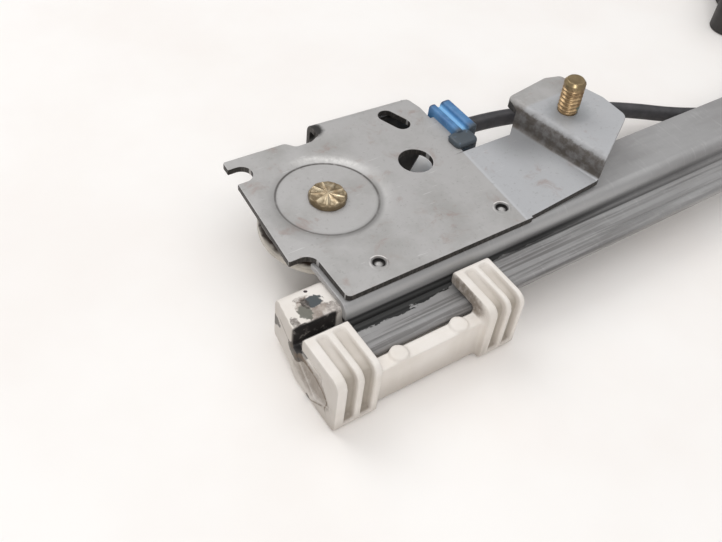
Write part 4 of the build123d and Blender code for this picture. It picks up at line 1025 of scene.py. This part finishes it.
# A profile with two ribs carried along y. Its lip and head are rounded rectangles, drawn in
# towards their tops.
def ribbedClip(end, far):
    c = clip
    outline = roundedLoop(c["outline"], c["rounds"])
    body = carriedAlongY(outline, c["frontY"], c["backY"], c["endRound"])
    mesh = ringMesh("ribbedClip" + end, mirroredRings(body, far) - pulleyAxis, fans=False)
    node = "conduit_clip_" + end.lower()
    showPiece("ribbedClip" + end, mesh, "frame", "blue_plastic", [clipBlue], node)
    (frontY, backY), endX = c["headY"], c["headEndX"]
    for label, (startX, bottom, top) in c["heads"].items():
        corners = [(startX, frontY), (endX, frontY), (endX, backY), (startX, backY)]
        plan = roundedLoop(corners, c["headRound"], 7)
        middle = (plan.min(axis=0) + plan.max(axis=0)) / 2
        under, kept = np.array(c["stations"]).T
        heights = np.concatenate([[bottom, bottom], top - under])
        shares = np.concatenate([[0.96, 1.0], kept])
        section = middle + (plan[None] - middle) * shares[:, None, None]
        level = np.broadcast_to(heights[:, None, None], (*section.shape[:2], 1))
        rings = mirroredRings(np.concatenate([section, level], axis=-1), far) - pulleyAxis
        showPiece(label + end, ringMesh(label + end, rings), "frame", "blue_plastic", [clipBlue])


clipBlue = makeClipBlue()
ribbedClip("A", False)
ribbedClip("B", True)
print("clips made")


# for each slot: name, two tones, patches, roughness, depth of the bump, metal, grain
plain = {
    "dark_steel": ("darkSteel", (58, 56, 54), (88, 85, 82), 5, (0.5, 0.65), 0.012, 0.4, 0.5),
    "cable_steel": ("cableSteel", (112, 110, 107), (150, 148, 145), 2, (0.35, 0.5), 0.01, 0.7, 0.5),
    "black_plastic": ("housingBlack", (50, 47, 45), (40, 38, 37), 5, (0.5, 0.65), 0.03, 0.0, 0.35),
    "conduit_sheath": ("sheathBlack", (66, 64, 66), (52, 51, 53), 4, (0.4, 0.52), 0.01, 0.0, 0.5),
}
pulley = {
    "rim": (206, 200, 190),
    "worn": (172, 165, 154),
    "dust": (102, 100, 96),
    "groove": (50, 38, 29),
    "dustFrom": (13.9, 14.1),
    "grooveShadeHeights": (10.95, 14.3),
}


# Two near tones in soft patches, and a fine grain
def makePlain(name, first, second, grain, roughness, depth, metallic, fine):
    material, shader, place = startMaterial(name, Metallic=metallic)
    patches = cloud(place, grain, 4.0, 0.6)
    colour = drift(patches, 0.3, 0.7, first, second)
    joinUp(shader, colour, between(patches, 0.25, 0.75, *roughness), cloud(place, fine), depth)
    return material


# Grey dust above the groove, painted shade in it under a wavy limit, pale streaked plastic below
def makePulleyPlastic():
    p = pulley
    material, shader, place = startMaterial("pulleyPlastic")
    z = axesOf(place)[2]
    streaks = between(cloud(place, 0.8, 4.0, 0.6, stretch=(8, 8, 1)), 0.3, 0.7)
    colour = blendTones(streaks, tone(*p["rim"]), tone(*p["worn"]))
    colour = paint(colour, between(z, *p["dustFrom"]), p["dust"])
    # painted shade in the groove between the flanges
    wavy = sums("ADD", z, both(cloud(place, 4, 3.0), 0.8))
    colour = paint(colour, band(wavy, *p["grooveShadeHeights"], 0.15), p["groove"])
    joinUp(shader, colour, sums("ADD", both(streaks, 0.1), 0.45), streaks, 0.006)
    return material


slotFinishes = {
    "yellow_zinc": yellowZinc,
    "rivet_brass": rivetBrass,
    "white_plastic": makePulleyPlastic(),
    "blue_plastic": clipBlue,
    "plate_steel": plateSteel,
    "rail_steel": railSteel,
}
slotFinishes.update({slotName: makePlain(*values) for slotName, values in plain.items()})
for nodeName, nodeObject in nodes.items():
    slotName = nodeObject.data.materials[0].name.split(".")[0]
    nodeObject.data.materials.clear()
    nodeObject.data.materials.append(slotFinishes[slotName])


drum = {
    "centre": (232.0, 27.0),
    "top": 18.5,
    "screwCircle": 30.5,
    "screwTurns": np.radians([0, 120, 240]),
    "screwReach": 6.0,
    "edgeRound": 0.3,
    "guardRound": 0.15,
    "portY": 7.0,
    "portHeights": {"A": 7.6, "B": 11.4},
}
nearScrews = []
for turn in drum["screwTurns"]:
    aside = drum["screwCircle"] * np.array([math.cos(turn), math.sin(turn)])
    nearScrews.append(((*(drum["centre"] + aside), drum["top"]), drum["screwReach"]))
guard = ("dark_steel", drum["guardRound"], ())
shell = ("black_plastic", drum["edgeRound"], nearScrews)
softened = {
    "cable_guard_a": ("cableGuardA", *guard),
    "cable_guard_b": ("cableGuardB", *guard),
    "drum_housing": ("drumHousing", *shell),
    "drum_cover": ("drumCover", *shell),
}
for nodeName, (label, slotName, width, sore) in softened.items():
    mesh = mergedCopy(nodeName, sore=sore)
    piece = showPiece(label, mesh, "frame", slotName, [slotFinishes[slotName]], nodeName)
    softEdges(piece, width)
print("guards and housing made")


# springs in the drum's ports: a helix along x whose angle grows evenly with the length
spring = {"wire": 0.5, "radius": 2.85, "turns": 4.5, "outer": 27.0, "inner": 21.0, "steps": 180}
for end, side in (("A", -1), ("B", 1)):
    share = np.linspace(0, 1, spring["steps"])
    angle = 2 * np.pi * spring["turns"] * share
    travel = spring["outer"] - spring["inner"] - 2 * spring["wire"]
    reach = spring["outer"] - spring["wire"] - share * travel
    line = np.column_stack([
        drum["centre"][0] + side * reach, drum["portY"] + spring["radius"] * np.cos(angle),
        drum["portHeights"][end] + spring["radius"] * np.sin(angle),
    ])
    mesh = ringMesh("portSpring" + end, tubeRings(line, (1, 0, 0), spring["wire"], 10))
    node = "port_spring_" + end.lower()
    showPiece("portSpring" + end, mesh, "frame", "cable_steel", [slotFinishes["cable_steel"]], node)


cable = {
    "pitchRadius": 16.0,
    "height": 12.2,
    "strands": 7,
    "lay": 6.0,
    "outer": 0.82,
    "inner": 0.66,
    "exitTurn": math.radians(3.0),
    "start": 18.0,
    "tail": 42.0,
    "step": 0.32,
}


# The stretch of a lift cable that shows: a tube along a straight, an arc round the pulley and a
# straight. Its radius is a row of round lobes that turns with the length, once for each lay.
def cableStrands(name, far):
    c = cable
    startX = c["start"]
    sweep = math.pi - c["exitTurn"]
    arc = c["pitchRadius"] * sweep
    length = np.arange(0, startX + arc + c["tail"], c["step"])
    turn = np.clip((length - startX) / c["pitchRadius"], 0, sweep)
    ahead = np.minimum(length, startX)
    beyond = np.maximum(length - startX - arc, 0)
    x = startX - ahead - c["pitchRadius"] * np.sin(turn) + beyond * math.cos(c["exitTurn"])
    y = -c["pitchRadius"] * np.cos(turn) - beyond * math.sin(c["exitTurn"])
    line = np.column_stack([x, y, np.full(len(length), c["height"])])
    around = 35
    angle = fullTurn(around)
    phase = c["strands"] / 2 * (angle[None, :] + 2 * np.pi * length[:, None] / c["lay"])
    radii = c["inner"] + (c["outer"] - c["inner"]) * np.abs(np.cos(phase))
    mesh = ringMesh(name, tubeRings(mirroredRings(line, far), (0, 0, 1), radii, around))
    showPiece(name, mesh, "frame", "cable_steel", [slotFinishes["cable_steel"]])


cableStrands("cableStrandsA", False)
cableStrands("cableStrandsB", True)
print("springs and cable strands made")
